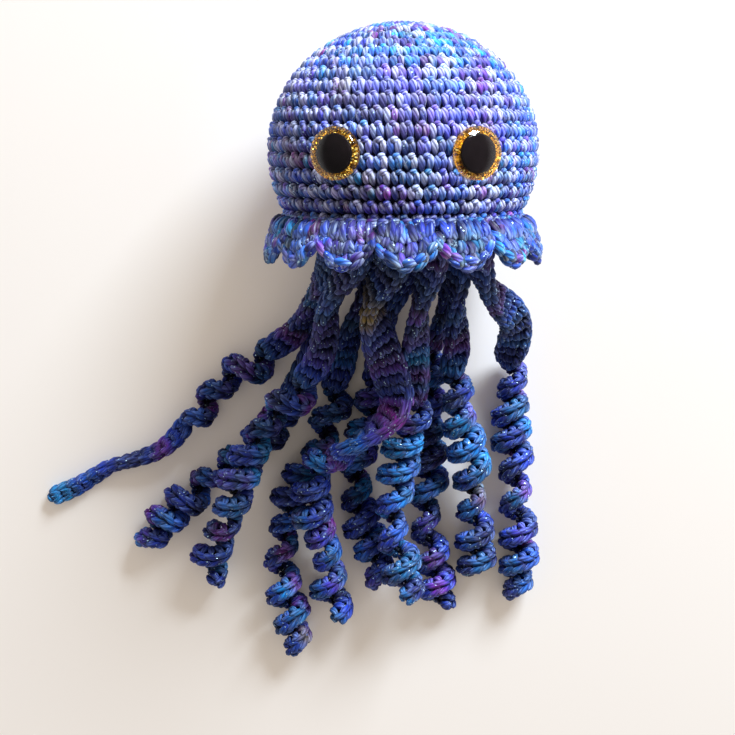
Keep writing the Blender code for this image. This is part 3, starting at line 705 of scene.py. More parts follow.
# Where the dye pooled on the head: (X, Y, Z) on it, how far it spreads, the colour's name and its share
POOLS = [
    ((-20, 18, 26), 5.0, "gold", 0.55), ((-34, 0, 14), 4.0, "gold", 0.6), ((36, -2, 10), 4.0, "gold", 0.7),
    ((-16, 22, 26), 4.5, "cyan", 0.7), ((6, 26, 24), 6.0, "cyan", 0.6), ((-5, 0, 37), 6.5, "teal", 0.65),
    ((-8, -4, 36), 4.0, "cyan", 0.6), ((10, -8, 35), 6.0, "cyan", 0.4), ((17, 18, 27), 4.5, "purple", 0.75),
    ((16, 5, 33), 4.5, "purple", 0.7), ((-3, 5, 37), 5.5, "purple", 0.5), ((-5, 18, 32), 6.0, "violet", 0.6),
    ((-14, 13, 32), 11.0, "lilac", 0.55), ((6, 12, 34), 10.0, "lilac", 0.45),
    ((32, 6, 18), 14.0, "cornflower", 0.6), ((-26, -15, 22), 14.0, "navy", 0.45),
    ((0, -18, 33), 12.0, "violet", 0.35), ((-33, 8, 12), 12.0, "royal", 0.4),
]


def pooled(colour, place, pools):
    """A dye colour, drawn towards the pools that lie near a place."""
    for middle, spread, tone, share in pools:
        near = share * math.exp(-((place - middle).length / spread) ** 2)
        colour = colour * (1.0 - near) + tone * near
    return colour


def eye_seat(side):
    """The way that an eye faces and the middle of its back, in millimetres from the middle of the head."""
    out = polar(1.0, side * EYE_ANGLE)
    return out, out * (HEAD_RADIUS - EYE_SINK) + Vector((0.0, -EYE_DROP, 0.0))


FLOOR = 0.05 - HEAD_CENTRE_HEIGHT  # where yarn that lies on the floor ends
EYE_SKIRT = 1.6  # how far past an eye's edge the yarn is pressed down
EYE_SKIRT_FADE = 1.4
FLOOR_PRESS = 0.02  # share that is left of yarn's reach below the floor


def pressed(places):
    """Keeps yarn under the eyes and over the floor."""
    for side in (-1, 1):
        out, seat = (numpy.array(part) for part in eye_seat(side))
        offset = places - seat
        height = offset @ out
        reach = numpy.linalg.norm(offset - height[:, None] * out, axis=1)
        share = numpy.clip((EYE_RADIUS + EYE_SKIRT - reach) / EYE_SKIRT_FADE, 0.0, 1.0)
        places = places - (numpy.maximum(height + 0.1, 0.0) * share)[:, None] * out
    low = places[:, 2] - FLOOR
    places[:, 2] = FLOOR + numpy.maximum(numpy.where(low < 0.0, low * FLOOR_PRESS, low), -0.04)
    return places


STITCH_YARN = 9.0  # millimetres of yarn from one single crochet to the next
KNOB_WIDTH = 1.7
SKEW = 0.05  # how far a stitch leans, as a share of its width
FOOT_DEPTH = 2.4  # of a leg's lower end, under the tops of the stitches
HEAD_DEPTH = 1.5  # of its upper end


def crochet_stitch(legs, at, count, stitch, phase, top, bottom, colour, plump, thickness=2.0):
    """One single crochet: two legs that lean apart upwards, and the knob between their tops."""
    pitch = 2 * math.pi / count
    middle = (stitch + 0.5 + phase) * pitch
    tall = bottom - top
    foot, out = at(bottom, middle, 0.0)
    beside, out = at(bottom, middle + pitch, 0.0)
    wide = (beside - foot).length
    shake = legs.random.uniform
    for side in (-1, 1):
        low_angle = middle + pitch * (side * 0.21 + SKEW + shake(-0.05, 0.05))
        high_angle = middle + pitch * (side * 0.27 - SKEW + shake(-0.09, 0.09))
        start, out = at(bottom + (0.02 + shake(-0.05, 0.05)) * tall, low_angle, FOOT_DEPTH)
        end, out = at(top + (0.03 + shake(-0.10, 0.06)) * tall, high_angle, HEAD_DEPTH)
        bend, out = at(top + 0.36 * tall, low_angle * 0.35 + high_angle * 0.65, shake(-0.75, -0.1))
        # the leg's tint is 1.12 times brighter at its top end: painted highlight
        legs.add(start, bend, end, out, plump * wide / 2 * shake(0.92, 1.14), thickness * shake(0.95, 1.1),
                 colour(side * 0.25), colour(side * 0.25 + 0.2) * 1.12)
    # the knob's tint is 1.25 times brighter: painted highlight on the top of the stitch
    start, out = at(top + (0.10 + shake(-0.06, 0.06)) * tall, middle - 0.21 * pitch, 1.3)
    end, out = at(top + (0.02 + shake(-0.06, 0.06)) * tall, middle + 0.21 * pitch, 1.3)
    bend, out = at(top - 0.08 * tall, middle + shake(-0.1, 0.1) * pitch, shake(-0.7, 0.0))
    legs.add(start, bend, end, out, KNOB_WIDTH * shake(0.85, 1.15), KNOB_WIDTH, colour(0.6) * 1.25,
             colour(0.8) * 1.25)


def replace_all(pieces, node):
    """Hides the node of the solid model that these pieces stand in for."""
    for piece in pieces:
        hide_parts(node)


PALE_CHANCE = 0.18  # of a leg of yarn on the head where the dye hardly took
PALE_SHARE = 0.62  # how much of its dye such a leg lost
BACKING_DEPTHS = (1.9, 3.4)  # of the outer and the inner side of the backing, under the tops of the stitches


class JELLYFISH_OT_head(bpy.types.Operator):
    """Crochets the head in rounds from its crown to its mouth"""
    bl_idname = "jellyfish.head"
    bl_label = "Crochet Head"

    def execute(self, context):
        yarn = context.scene.jellyfish_yarn
        bell = Bell()
        dye = Dye(11)
        tones = {name: numpy.array(linear(getattr(yarn, name))) for name in
                 ("gold", "cyan", "teal", "purple", "violet", "lilac", "cornflower", "navy", "royal")}
        pools = [(Vector(middle), spread, tones[name], share) for middle, spread, name, share in POOLS]
        bleached = numpy.array(linear((0.88, 0.89, 0.97)))
        material = finish("head_yarn")
        upper, lower = Legs(), Legs()
        run = 0.0
        for k, count in enumerate(bell.counts):
            legs = upper if k < bell.rounds // 2 + 1 else lower
            for stitch in range(count):
                run += STITCH_YARN
                angle = (stitch + 0.5) * 2 * math.pi / count
                place = bell.at((k + 0.5) * bell.height, angle)[0]
                jitter = dye.random.rand(4)

                def colour(share, run=run, place=place, jitter=jitter):
                    tone = pooled(dye.at(run + STITCH_YARN * share), place, pools) * (0.56 + 0.82 * jitter[0])
                    pale = PALE_SHARE if jitter[1 + round(share > 0.0)] < PALE_CHANCE else 0.0
                    return tone * (1.0 - pale) + bleached * pale

                crochet_stitch(legs, bell.at, count, stitch, 0.13 * k, k * bell.height,
                               (k + 1) * bell.height, colour, yarn.plumpness)
        self.seam(lower, bell, dye)
        pieces = [legs.make(name, material, yarn.leg_sides, yarn.leg_rings, 0.14, pressed)
                  for name, legs in (("head_upper_rounds", upper), ("head_lower_rounds", lower))]
        pieces.append(self.backing(bell))
        replace_all(pieces, "head")
        return {"FINISHED"}

    def seam(self, legs, bell, dye):
        """Slanted stitches that close the head's edge over to the disc in its mouth."""
        outer = bell.radii[-1]
        count = round(2 * math.pi * outer / SEAM_WIDTH)
        for k in range(count):
            angle = 2 * math.pi * k / count
            points = []
            for radius, drop, lead in ((outer + 0.4, 0.6, 0.0), ((outer + UNDERSIDE_RADIUS) / 2, -1.5, 0.4),
                                       (UNDERSIDE_RADIUS - 0.9, 0.1, 0.9)):
                points.append(polar(radius, angle + lead * 2 * math.pi / count, drop - MOUTH_DROP))
            tone = 0.6 + 0.5 * dye.random.rand()
            run = STITCH_YARN * k
            legs.add(*points, Vector((0.0, -1.0, 0.0)), SEAM_WIDTH * 1.15, 1.8, dye.at(run) * tone,
                     dye.at(run + 4.0) * tone)

    def backing(self, bell):
        """The dense inside of the crocheted wall, behind the legs of yarn, in the near-black painted shade
        finish.
        """
        sheets = []
        for depth in BACKING_DEPTHS:
            places = [bell.at(length, 0.0, depth)[0] for length in numpy.linspace(2.0, bell.lengths[-1], 40)]
            sheets.append([(0.0, CROWN_HEIGHT - depth)] + [(place.z, place.y) for place in places])
        profile = sheets[0] + sheets[1][::-1]
        backing = turned("head_backing", profile, 96, head_matrix(), finish("yarn_backing"))
        lay_out(backing.data, pressed((coordinates(backing.data) - numpy.array(head_centre())) / MM))
        backing.data.update()
        return backing


# Ruffle


def ruffle_at(turn, drop_share, depth):
    """A point of the ruffle: drop_share runs from its top to its edge, and depth in from its outer side."""
    scallop = abs(math.cos(turn * SCALLOPS / 2))
    drop = RUFFLE_TOP + drop_share * (RUFFLE_LENGTH - SCALLOP_DEPTH * (1.0 - scallop))
    collar = HEAD_RADIUS * math.sqrt(1.0 - (RUFFLE_TOP / LOWER_HEIGHT) ** 2) + CLEARANCE
    radius = collar + RUFFLE_THICKNESS - depth
    radius += drop_share * (RUFFLE_FLARE - SCALLOP_WAVE * (1.0 - scallop))
    return polar(radius, turn, -drop)


class JELLYFISH_OT_ruffle(bpy.types.Operator):
    """Crochets the scalloped edging: tiers of slanted pairs with a double chain along their edge"""
    bl_idname = "jellyfish.ruffle"
    bl_label = "Crochet Ruffle"

    def execute(self, context):
        yarn = context.scene.jellyfish_yarn
        dye = Dye(23, 0.4, BRIGHT_TONES)
        legs, backing = Legs(), Legs()
        # near-black tint of the backing legs: painted shade between the shells
        dark = numpy.array((0.02, 0.02, 0.07))
        run = 0.0
        pitch = 2 * math.pi / SCALLOPS
        for scallop in range(SCALLOPS):
            centre = scallop * pitch
            out = polar(1.0, centre)
            for post in range(-2, 3):
                run += 14.0
                fan = post / 2
                low = centre + fan * 0.30 * pitch
                high = centre + fan * 0.42 * pitch
                for side in (-1, 1):
                    shift = side * 0.055 * pitch
                    for first, last, spread, rise in ((-0.04, 0.46, 0.15, 0.8), (0.36, 0.74, 0.55, 1.0),
                                                      (0.62, 1.02, 0.95, 0.9)):
                        tone = 0.20 + 1.32 * legs.random.rand()
                        middle = low * (1 - spread) + high * spread
                        foot = ruffle_at(middle + shift * 1.75, first, 2.0) + legs.stray(0.45)
                        half = (first + last) / 2 + 0.06
                        knee = ruffle_at(middle + shift * 1.3, half, -rise) + legs.stray(0.7)
                        toe = ruffle_at(middle + shift * 0.35, last, 1.2) + legs.stray(0.6)
                        legs.add(foot, knee, toe, out, 2.6, 2.3, dye.at(run + 9.0 * first) * tone,
                                 dye.at(run + 9.0 * last) * tone)
                    legs.add(ruffle_at(low + shift, 0.05, 2.2),
                             ruffle_at((low + high) / 2 + shift, 0.5, 3.4),
                             ruffle_at(high + shift, 0.94, 2.2), out, 1.9, 1.6, dye.at(run + 4.0),
                             dye.at(run + 8.0))
                # the two chain rows at the ruffle's top, against the head, are tinted 0.7 as bright: painted
                # shade
                for row, depth in ((-0.02, 2.9), (0.10, 2.6)):
                    begin = centre + (fan * 0.4 - 0.13) * pitch
                    ends = [ruffle_at(begin + share * pitch, row + shift, depth)
                            for share, shift in ((0.0, 0.04), (0.13, -0.03), (0.26, 0.04))]
                    legs.add(*ends, out, 2.4, 2.6, dye.at(run + 2.0) * 0.7, dye.at(run + 6.0) * 0.7)
                backing.add(ruffle_at(low, 0.0, 1.8), ruffle_at((low + high) / 2, 0.5, 1.6),
                            ruffle_at(high, 0.9, 1.7), out, 4.2, 1.6, dark, dark)
            self.edge(legs, dye, centre, pitch, run)
        edging = legs.make("ruffle_shells", finish("ruffle_yarn"), yarn.leg_sides, yarn.leg_rings,
                           shape=pressed)
        inside = backing.make("ruffle_backing", finish("yarn_backing"), 6, 5, shape=pressed)
        replace_all([edging, inside], "ruffle")
        return {"FINISHED"}

    def edge(self, legs, dye, centre, pitch, run):
        """The chain along one scallop: thick loops that overlap each other from notch to notch."""
        shares = numpy.linspace(-0.5, 0.5, 61)
        places = [ruffle_at(centre + share * pitch, 1.0, RUFFLE_THICKNESS / 2) for share in shares]
        lengths = running([(b - a).length for a, b in zip(places, places[1:])])
        loops = 5
        for loop in range(loops):
            run += 8.0
            begin = numpy.interp(lengths[-1] * (loop - 0.18) / loops, lengths, shares)
            stop = numpy.interp(lengths[-1] * (loop + 1.22) / loops, lengths, shares)
            first, last = centre + begin * pitch, centre + stop * pitch
            half = (first + last) / 2
            out = polar(1.0, half)
            tone = 0.56 + 0.98 * legs.random.rand()
            for low, middle, high, front, later in (
                    ((0.93, 0.9), (0.82, -1.0), (0.98, 0.6), out, 0.0),
                    ((1.04, 1.6), (1.12, 0.2), (0.95, 1.3), out + Vector((0.0, -0.8, 0.0)), 2.0)):
                points = [ruffle_at(turn, *place) + legs.stray(reach) for turn, place, reach in
                          ((first, low, 0.4), (half, middle, 0.5), (last, high, 0.4))]
                legs.add(*points, front, 2.4, 2.2, dye.at(run + later) * tone,
                         dye.at(run + later + 4.0) * tone)


# Underside


class JELLYFISH_OT_underside(bpy.types.Operator):
    """Crochets the flat disc that closes the mouth"""
    bl_idname = "jellyfish.underside"
    bl_label = "Crochet Underside"

    def execute(self, context):
        yarn = context.scene.jellyfish_yarn
        dye = Dye(37, 0.5, DEEP_TONES)
        legs = Legs()
        rounds = round(UNDERSIDE_RADIUS / ROUND_HEIGHT)
        height = UNDERSIDE_RADIUS / rounds

        def at(length, angle, depth=0.0):
            radius = min(length, UNDERSIDE_RADIUS)
            sag = UNDERSIDE_BULGE * min(1.0, (UNDERSIDE_RADIUS - radius) / 5.0)
            return polar(radius, angle, -MOUTH_DROP - sag + depth), Vector((0.0, -1.0, 0.0))

        run = 0.0
        for k in range(rounds):
            count = STITCHES_ADDED * (k + 1)
            for stitch in range(count):
                run += STITCH_YARN
                crochet_stitch(legs, at, count, stitch, 0.1 * k, k * height, (k + 1) * height,
                               lambda share, run=run: dye.at(run + STITCH_YARN * share) * 0.8,
                               yarn.plumpness, 1.9)
        rounds_piece = legs.make("underside_rounds", finish("tentacle_yarn"), 6, 5)
        top = -MOUTH_DROP + UNDERSIDE_THICKNESS
        profile = [(0.0, top), (UNDERSIDE_RADIUS, top), (UNDERSIDE_RADIUS, 0.8 - MOUTH_DROP),
                   (0.0, 0.4 - MOUTH_DROP)]
        backing = turned("underside_backing", profile, 64, head_matrix(), finish("yarn_backing"))
        replace_all([rounds_piece, backing], "underside")
        return {"FINISHED"}


# Eyes


DOME_STEPS = 18
CROWN_STEPS = 8  # of the pupil's rounded top
GROOVES = 4
GROOVE_TOP = -5.2
GROOVE_PITCH = 1.5
GROOVE_DEPTH = 0.35
GROOVE_WIDTH = 0.8


def eye_matrix(side):
    """Places an eye's own axis, with its back at zero, on the head."""
    out, seat = eye_seat(side)
    return Matrix.Translation(head_centre() + seat * MM) @ out.to_track_quat("Z", "Y").to_matrix().to_4x4()


class JELLYFISH_OT_eyes(bpy.types.Operator):
    """Makes the two glitter safety eyes: clear dome, glitter ring, pupil with its post"""
    bl_idname = "jellyfish.eyes"
    bl_label = "Make Eyes"

    def execute(self, context):
        sides = context.scene.jellyfish_eyes.sides
        base = IRIS_THICKNESS + CLEARANCE
        shoulder = base + LENS_EDGE
        turns = [math.pi / 2 * k / DOME_STEPS for k in range(DOME_STEPS + 1)]
        dome = [(EYE_RADIUS * math.sin(turn), shoulder + (LENS_HEIGHT - shoulder) * math.cos(turn))
                for turn in turns]
        crown = [(PUPIL_RADIUS * k / CROWN_STEPS, base + 0.5 + 0.5 * (1 - (k / CROWN_STEPS) ** 2))
                 for k in range(CROWN_STEPS)]
        back = IRIS_THICKNESS - BOND
        dome += [(EYE_RADIUS, back + 0.2), (EYE_RADIUS - 0.2, back), (PUPIL_RADIUS - BOND, back),
                 (PUPIL_RADIUS - BOND, base + 0.4 - BOND)]
        dome += [(radius, height - BOND) for radius, height in reversed(crown)]
        iris = [(POST_RADIUS + CLEARANCE, IRIS_THICKNESS), (IRIS_RADIUS - 0.1, IRIS_THICKNESS),
                (IRIS_RADIUS, IRIS_THICKNESS - 0.1), (IRIS_RADIUS, 0.0), (POST_RADIUS + CLEARANCE, 0.0)]
        pupil = crown + [(PUPIL_RADIUS - 0.1, base + 0.52), (PUPIL_RADIUS, base + 0.4), (PUPIL_RADIUS, base),
                         (POST_RADIUS, base)]
        for groove in range(GROOVES):
            top = GROOVE_TOP - GROOVE_PITCH * groove
            pupil += [(POST_RADIUS, top), (POST_RADIUS - GROOVE_DEPTH, top - GROOVE_WIDTH / 2),
                      (POST_RADIUS, top - GROOVE_WIDTH)]
        pupil += [(POST_RADIUS, 1.0 - POST_LENGTH), (POST_RADIUS / 2, -POST_LENGTH), (0.0, -POST_LENGTH)]
        kinds = (("lens", dome, "clear_plastic"), ("iris", iris, "glitter"),
                 ("pupil", pupil, "black_plastic"))
        for side, name in ((-1, "left"), (1, "right")):
            for kind, profile, slot in kinds:
                piece = turned("eye_" + name + "_" + kind, profile, sides, eye_matrix(side), finish(slot))
                replace_all([piece], "eye_" + kind + "_" + name)
        return {"FINISHED"}


class JELLYFISH_OT_filling(bpy.types.Operator):
    """Gives the hidden filling and the eye washers their finishes"""
    bl_idname = "jellyfish.filling"
    bl_label = "Finish Filling"

    def execute(self, context):
        for node, name in (("stuffing", "loose_fibre"), ("eye_washer_left", "washer_plastic"),
                           ("eye_washer_right", "washer_plastic")):
            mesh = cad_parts[node].data
            mesh.materials.clear()
            mesh.materials.append(finish(name))
        return {"FINISHED"}


# Tentacles


def smooth_route(points, step):
    """A curve through the points, as points about one step apart."""
    ends = [2 * points[0] - points[1]] + points + [2 * points[-1] - points[-2]]
    dense = []
    for a, b, c, d in zip(ends, ends[1:], ends[2:], ends[3:]):
        pieces = max(8, round((c - b).length / step))
        for k in range(pieces):
            t = k / pieces
            dense.append(0.5 * (2 * b + (c - a) * t + (2 * a - 5 * b + 4 * c - d) * t * t
                                + (3 * b - a - 3 * c + d) * t ** 3))
    dense.append(points[-1])
    return dense


def blend(value):
    """Goes smoothly from 0 to 1."""
    value = min(max(value, 0.0), 1.0)
    return value * value * (3.0 - 2.0 * value)


def swing(length, radian_length, phase):
    """Swings slowly between 0 and 1 along a length."""
    return 0.5 + 0.5 * math.sin(length / radian_length + phase)


class Strip:
    """A crocheted strip along its route: where it is, how it faces and how wide it is at each length."""

    def __init__(self, base, route, curl_start, curl_end, straight_width):
        root_drop = MOUTH_DROP + UNDERSIDE_BULGE + CLEARANCE
        start = Vector((base[0], -root_drop, base[1] - HEAD_CENTRE_HEIGHT))
        points = [start, start - Vector((0.0, STRIP_LEAD, 0.0))]
        points += [Vector((x, -root_drop - drop, height - HEAD_CENTRE_HEIGHT)) for x, drop, height in route]
        middle = smooth_route(points, WALK_STEP)
        phase = float(base[0])
        across = Vector((1.0, 0.0, 0.0))
        length = turn = 0.0
        rows = []
        for k, place in enumerate(middle):
            along = (middle[min(k + 1, len(middle) - 1)] - middle[max(k - 1, 0)]).normalized()
            across = (across - along * across.dot(along)).normalized()
            other = along.cross(across)
            step = (place - middle[k - 1]).length if k else 0.0
            length += step
            after = blend((length - curl_end) / CURL_RUN_IN) if curl_end else 0.0
            curl = blend((length - curl_start) / CURL_RUN_IN) * (1.0 - after)
            stray = CURL_WANDER * swing(length, WANDER_LENGTH, phase) * curl
            reach = CURL_RADIUS - stray
            width = straight_width + (reach - CURL_BORE - straight_width) * curl
            thickness = STRIP_THICKNESS + (CURL_THICKNESS - STRIP_THICKNESS) * curl
            width += (TAIL_WIDTH - width) * after
            thickness += (TAIL_THICKNESS - thickness) * after
            turning = 2 * math.pi / CURL_PITCH * (1.0 - PITCH_SLACK * swing(length, SLACK_LENGTH, phase))
            turn += step * (STRIP_TWIST * (1.0 - curl) + turning * curl)
            outward = across * math.cos(turn) + other * math.sin(turn)
            sideways = other * math.cos(turn) - across * math.sin(turn)
            offset = curl * (reach + CURL_BORE) / 2
            run = (along + sideways * (turning * offset * curl)).normalized()
            sway = length / SWAY_LENGTH + phase
            axis = place + (across * math.cos(sway) + other * math.sin(sway)) * stray
            rows.append((*(axis + outward * offset), *outward, *run.cross(outward), width, thickness, curl,
                         *run))
        self.rows = numpy.array(rows)
        edge = self.rows[:, 0:3] + self.rows[:, 3:6] * self.rows[:, 9:10] / 2
        steps = numpy.linalg.norm(numpy.diff(edge, axis=0), axis=1)
        self.edge_lengths = running(steps)
        self.total = self.edge_lengths[-1]

    def at(self, edge_length):
        """Centre, outward, normal, run, width, thickness and curl at a length along the outer edge."""
        place = numpy.interp(edge_length, self.edge_lengths, numpy.arange(len(self.rows)))
        low = int(min(place, len(self.rows) - 2))
        share = place - low
        row = self.rows[low] * (1 - share) + self.rows[low + 1] * share
        outward, normal, run = (Vector(row[k:k + 3]).normalized() for k in (3, 6, 12))
        return Vector(row[0:3]), outward, normal, run, row[9], row[10], row[11]


def over_floor(places):
    """Keeps the yarn of the tentacles just over the floor."""
    places[:, 2] = numpy.maximum(places[:, 2], FLOOR)
    return places


# Lengths of a tentacle that took one dye: name, first and last length along its edge, colour and share
STRIP_DYES = {
    "tentacle_5": [(22, 38, "gold", 0.85), (40, 58, "violet", 0.5)],
    "tentacle_3": [(10, 50, "violet", 0.35)],
    "tentacle_10": [(395, 415, "gold", 0.6), (300, 380, "teal", 0.3)],
    "tentacle_9": [(180, 200, "gold", 0.5), (90, 170, "cyan", 0.35)],
    "tentacle_7": [(120, 190, "cyan", 0.3)],
}


# The chain on the outer and the inner edge of a strip: which edge, how far each leg is lifted off the
# strip's middle at its start (in millimetres) and at its end (a share of the strip's thickness), how far
# it bows out and up, its width and its thickness
OUTER_EDGE = (1, 0.35, 0.36, 0.9, 0.5, 2.2, 2.0)
INNER_EDGE = (-1, 0.3, 0.34, 0.8, 0.4, 2.1, 1.9)
STRIP_STITCH = 3.7  # length of one stitch along the outer edge
STRIP_COLUMN = 3.0  # width of one column of slanted pairs
STRIP_YARN = 2.2  # millimetres of yarn in one millimetre of edge
ROOT_SHADOW_TONE = 0.42  # how dark the yarn is at a root: painted shadow of the head and ruffle


class JELLYFISH_OT_tentacles(bpy.types.Operator):
    """Crochets the ten curly strips"""
    bl_idname = "jellyfish.tentacles"
    bl_label = "Crochet Tentacles"

    def execute(self, context):
        material = finish("tentacle_yarn")
        for number, (name, facts) in enumerate(TENTACLES.items()):
            strip = Strip(*facts, BROAD_STRIPS.get(name, STRIP_WIDTH))
            dye = Dye(101 + number, 0.8, DEEP_TONES)
            legs = self.strip_legs(name, strip, dye, context.scene.jellyfish_yarn)
            piece = legs.make(name + "_yarn", material, 6, 6, shape=over_floor)
            replace_all([piece], name)
        return {"FINISHED"}

    def strip_legs(self, name, strip, dye, yarn):
        """Posts on both faces of a strip, V loops along its edges and a dense middle, stitch by stitch."""
        tones = [(first, last, numpy.array(linear(getattr(yarn, tone))), share)
                 for first, last, tone, share in STRIP_DYES.get(name, [])]
        legs = Legs()
        stitches = round(strip.total / STRIP_STITCH)
        step = strip.total / stitches

        def colour(length):
            shade = dye.at(length * STRIP_YARN)
            for first, last, tone, share in tones:
                near = share * blend((length - first) / 4.0) * blend((last - length) / 4.0)
                shade = shade * (1 - near) + tone * near
            # darker near the root, fading out from 15 to 85 mm along: painted shadow of the head and ruffle
            return shade * (ROOT_SHADOW_TONE + (1.0 - ROOT_SHADOW_TONE) * blend((length - 15.0) / 70.0))

        for k in range(stitches):
            here = k * step
            middle_row = strip.at(here + step / 2)
            centre, outward, normal, run, width, thickness, curl = middle_row
            start = strip.at(here)
            end = strip.at(min(here + step * 1.45, strip.total))
            jitter = 0.75 + 0.5 * dye.random.rand()
            tone = colour(here) * jitter
            later = colour(here + step) * jitter
            edge = width / 2
            for side in (-1, 1):
                # the outer edge's chain is tinted 1.08 times brighter: painted highlight on the outer side of
                # the curls
                self.edge_leg(legs, start, end, middle_row, side, tone * 1.08, later * 1.08, *OUTER_EDGE)
                if curl >= 0.5:
                    # the post on this face
                    inner = centre - outward * (edge - 0.3) + normal * (side * thickness * 0.20)
                    outer = centre + outward * (edge - 0.4) + normal * (side * thickness * 0.34) + run * 0.8
                    bulge = centre + normal * (side * (thickness * 0.62 + 0.5)) + run * 0.2 + legs.stray(0.3)
                    legs.add(inner, bulge, outer, normal * side, min(2.4, step * 0.66), 1.9, tone, later)
                else:
                    self.flat_stitch(legs, middle_row, side, step, tone, later)
                    self.edge_leg(legs, start, end, middle_row, side, tone, later, *INNER_EDGE)
            # the dense inside, tinted a fifth as bright: painted shade between the legs
            legs.add(centre - outward * edge * 0.8, centre, centre + outward * edge * 0.9, normal,
                     step * 1.5, thickness * 0.55, tone * 0.2, tone * 0.2)
        self.close_tip(legs, strip, colour(strip.total))
        return legs

    def edge_leg(self, legs, start, end, middle, side, tone, later, way, lift, late_lift, bow, rise, width,
                 thickness):
        """One leg of the chain along an edge of a strip: way is 1 on its outer edge, -1 on its inner one."""
        outward, normal = middle[1] * way, middle[2] * side
        first = start[0] + start[1] * (way * (middle[4] / 2 + 0.1)) + start[2] * (side * lift)
        first += legs.stray(0.25)
        last = end[0] + end[1] * (way * (end[4] / 2 - 0.1)) + end[2] * (side * middle[5] * late_lift)
        if way > 0:
            last += legs.stray(0.25)
        bend = (first + last) / 2 + outward * bow + normal * rise
        legs.add(first, bend, last, outward + normal * 0.4, width, thickness, tone, later)

    def flat_stitch(self, legs, middle_row, side, step, tone, later):
        """Slanted pairs of legs side by side across one face of a straight strip."""
        centre, outward, normal, run, width, thickness, curl = middle_row
        face = normal * side
        columns = max(2, round(width / STRIP_COLUMN))
        for column in range(columns):
            across = ((column + 0.5) / columns - 0.5) * (width - 1.0)
            for lean in (-1, 1):
                place = centre + outward * (across + lean * 0.26 * width / columns) + face * thickness * 0.24
                foot = place - run * (step * 0.55) - outward * (lean * 0.5) + legs.stray(0.25)
                head = place + run * (step * 0.55) + outward * (lean * 0.5) + legs.stray(0.25)
                bulge = place + face * (thickness * 0.5 + 0.3) + legs.stray(0.25)
                legs.add(foot, bulge, head, face, 1.08 * width / columns / 2 + 0.35, 1.7, tone, later)

    def close_tip(self, legs, strip, tone):
        """A last round knot where the yarn is fastened off."""
        centre, outward, normal, run, width, thickness, curl = strip.at(strip.total)
        for side in (-1, 1):
            legs.add(centre - outward * width * 0.4, centre + run * 1.2 + normal * (side * 0.8),
                     centre + outward * width * 0.45, run + normal * (side * 0.6), 1.9, 1.9, tone, tone)


# Stage


CAMERA_PLACE = (-10.0, 2.8, 410.0)  # from the middle of the head, in millimetres
CAMERA_TILT = math.radians(-9.0)
WINDOW_WAY = Vector((0.44, 0.72, 0.44))  # from the head to the window
WINDOW_DISTANCE = 0.9
WINDOW_SIZE = (0.40, 0.32)
FLOOR_RADIUS = 0.8


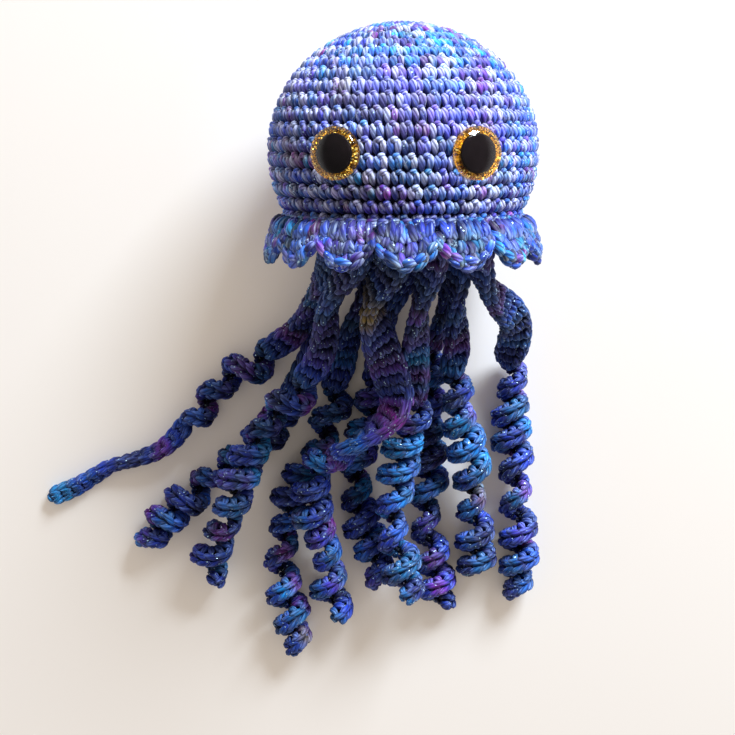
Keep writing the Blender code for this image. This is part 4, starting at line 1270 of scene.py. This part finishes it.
class JELLYFISH_OT_stage(bpy.types.Operator):
    """Sets the pale floor, the soft window light and the camera"""
    bl_idname = "jellyfish.stage"
    bl_label = "Set Stage"

    def execute(self, context):
        stage = context.scene.jellyfish_stage
        camera = linked("camera", bpy.data.cameras.new("camera"))
        camera.data.sensor_width = 36.0
        camera.data.lens = stage.lens
        camera.data.clip_start = 0.01
        camera.location = head_centre() + Vector(CAMERA_PLACE) * MM
        camera.rotation_euler = (CAMERA_TILT, 0.0, 0.0)
        context.scene.camera = camera

        bm = bmesh.new()
        bmesh.ops.create_circle(bm, cap_ends=True, segments=96, radius=FLOOR_RADIUS)
        floor = linked("floor", mesh_of(bm, "floor"))
        floor.data.materials.append(finish("pale_floor"))

        light = bpy.data.lights.new("window_light", "AREA")
        light.shape = "RECTANGLE"
        light.size, light.size_y = WINDOW_SIZE
        light.energy = stage.key_power
        light.color = (0.85, 0.93, 1.0)
        window = linked("window_light", light)
        window.location = head_centre() + WINDOW_WAY.normalized() * WINDOW_DISTANCE
        window.rotation_euler = WINDOW_WAY.to_track_quat("Z", "Y").to_euler()
        self.room(context, stage)
        context.scene.view_settings.view_transform = "Standard"
        return {"FINISHED"}

    def room(self, context, stage):
        """Light from all round, with a white ground for the camera and for what mirrors it."""
        world = bpy.data.worlds.new("room")
        context.scene.world = world
        world.use_nodes = True
        world.node_tree.nodes.clear()
        nodes = Nodes(world.node_tree)
        seen = nodes.node("LightPath", output="Is Camera Ray")
        for kind in ("Is Glossy Ray", "Is Transmission Ray"):
            seen = nodes.sum("MAXIMUM", seen, nodes.node("LightPath", output=kind))
        way = nodes.node("TexCoord", output="Generated")
        height = nodes.node("SeparateXYZ", inputs={0: way}, output="Z")
        fill = Vector(linear(stage.fill)) * stage.fill_strength
        skies = []
        for low, high, first, last in ((fill, fill * 0.2, 0.55, 0.90),
                                       ((1.0, 1.0, 1.0), (0.08, 0.08, 0.08), 0.10, 0.40)):
            tone = nodes.mix(nodes.between(height, first, last), (*low, 1.0), (*high, 1.0))
            skies.append(nodes.node("Background", inputs={"Color": tone}))
        mixed = nodes.node("MixShader", inputs={0: seen, 1: skies[0], 2: skies[1]})
        nodes.feed(world.node_tree.nodes.new("ShaderNodeOutputWorld").inputs["Surface"], mixed)


STEPS = (JELLYFISH_OT_stage, JELLYFISH_OT_head, JELLYFISH_OT_ruffle, JELLYFISH_OT_underside,
         JELLYFISH_OT_eyes, JELLYFISH_OT_filling, JELLYFISH_OT_tentacles)
SETTINGS = {"jellyfish_yarn": YarnSettings, "jellyfish_eyes": EyeSettings, "jellyfish_stage": StageSettings}


class JELLYFISH_PT_panel(bpy.types.Panel):
    """Lists the steps and the settings of the jellyfish"""
    bl_idname = "JELLYFISH_PT_panel"
    bl_label = "Crocheted Jellyfish"
    bl_space_type = "VIEW_3D"
    bl_region_type = "UI"
    bl_category = "Jellyfish"

    def draw(self, context):
        for step in STEPS:
            self.layout.operator(step.bl_idname)
        for name, group in SETTINGS.items():
            box = self.layout.box()
            for setting in group.__annotations__:
                box.prop(getattr(context.scene, name), setting)


def register():
    for group in (*SETTINGS.values(), *STEPS, JELLYFISH_PT_panel):
        bpy.utils.register_class(group)
    for name, group in SETTINGS.items():
        setattr(bpy.types.Scene, name, PointerProperty(type=group))


def unregister():
    for name in SETTINGS:
        delattr(bpy.types.Scene, name)
    for group in (JELLYFISH_PT_panel, *reversed(STEPS), *SETTINGS.values()):
        bpy.utils.unregister_class(group)


def main():
    register()
    for step in STEPS:
        family, action = step.bl_idname.split(".")
        getattr(getattr(bpy.ops, family), action)()
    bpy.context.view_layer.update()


if __name__ == "__main__":
    main()
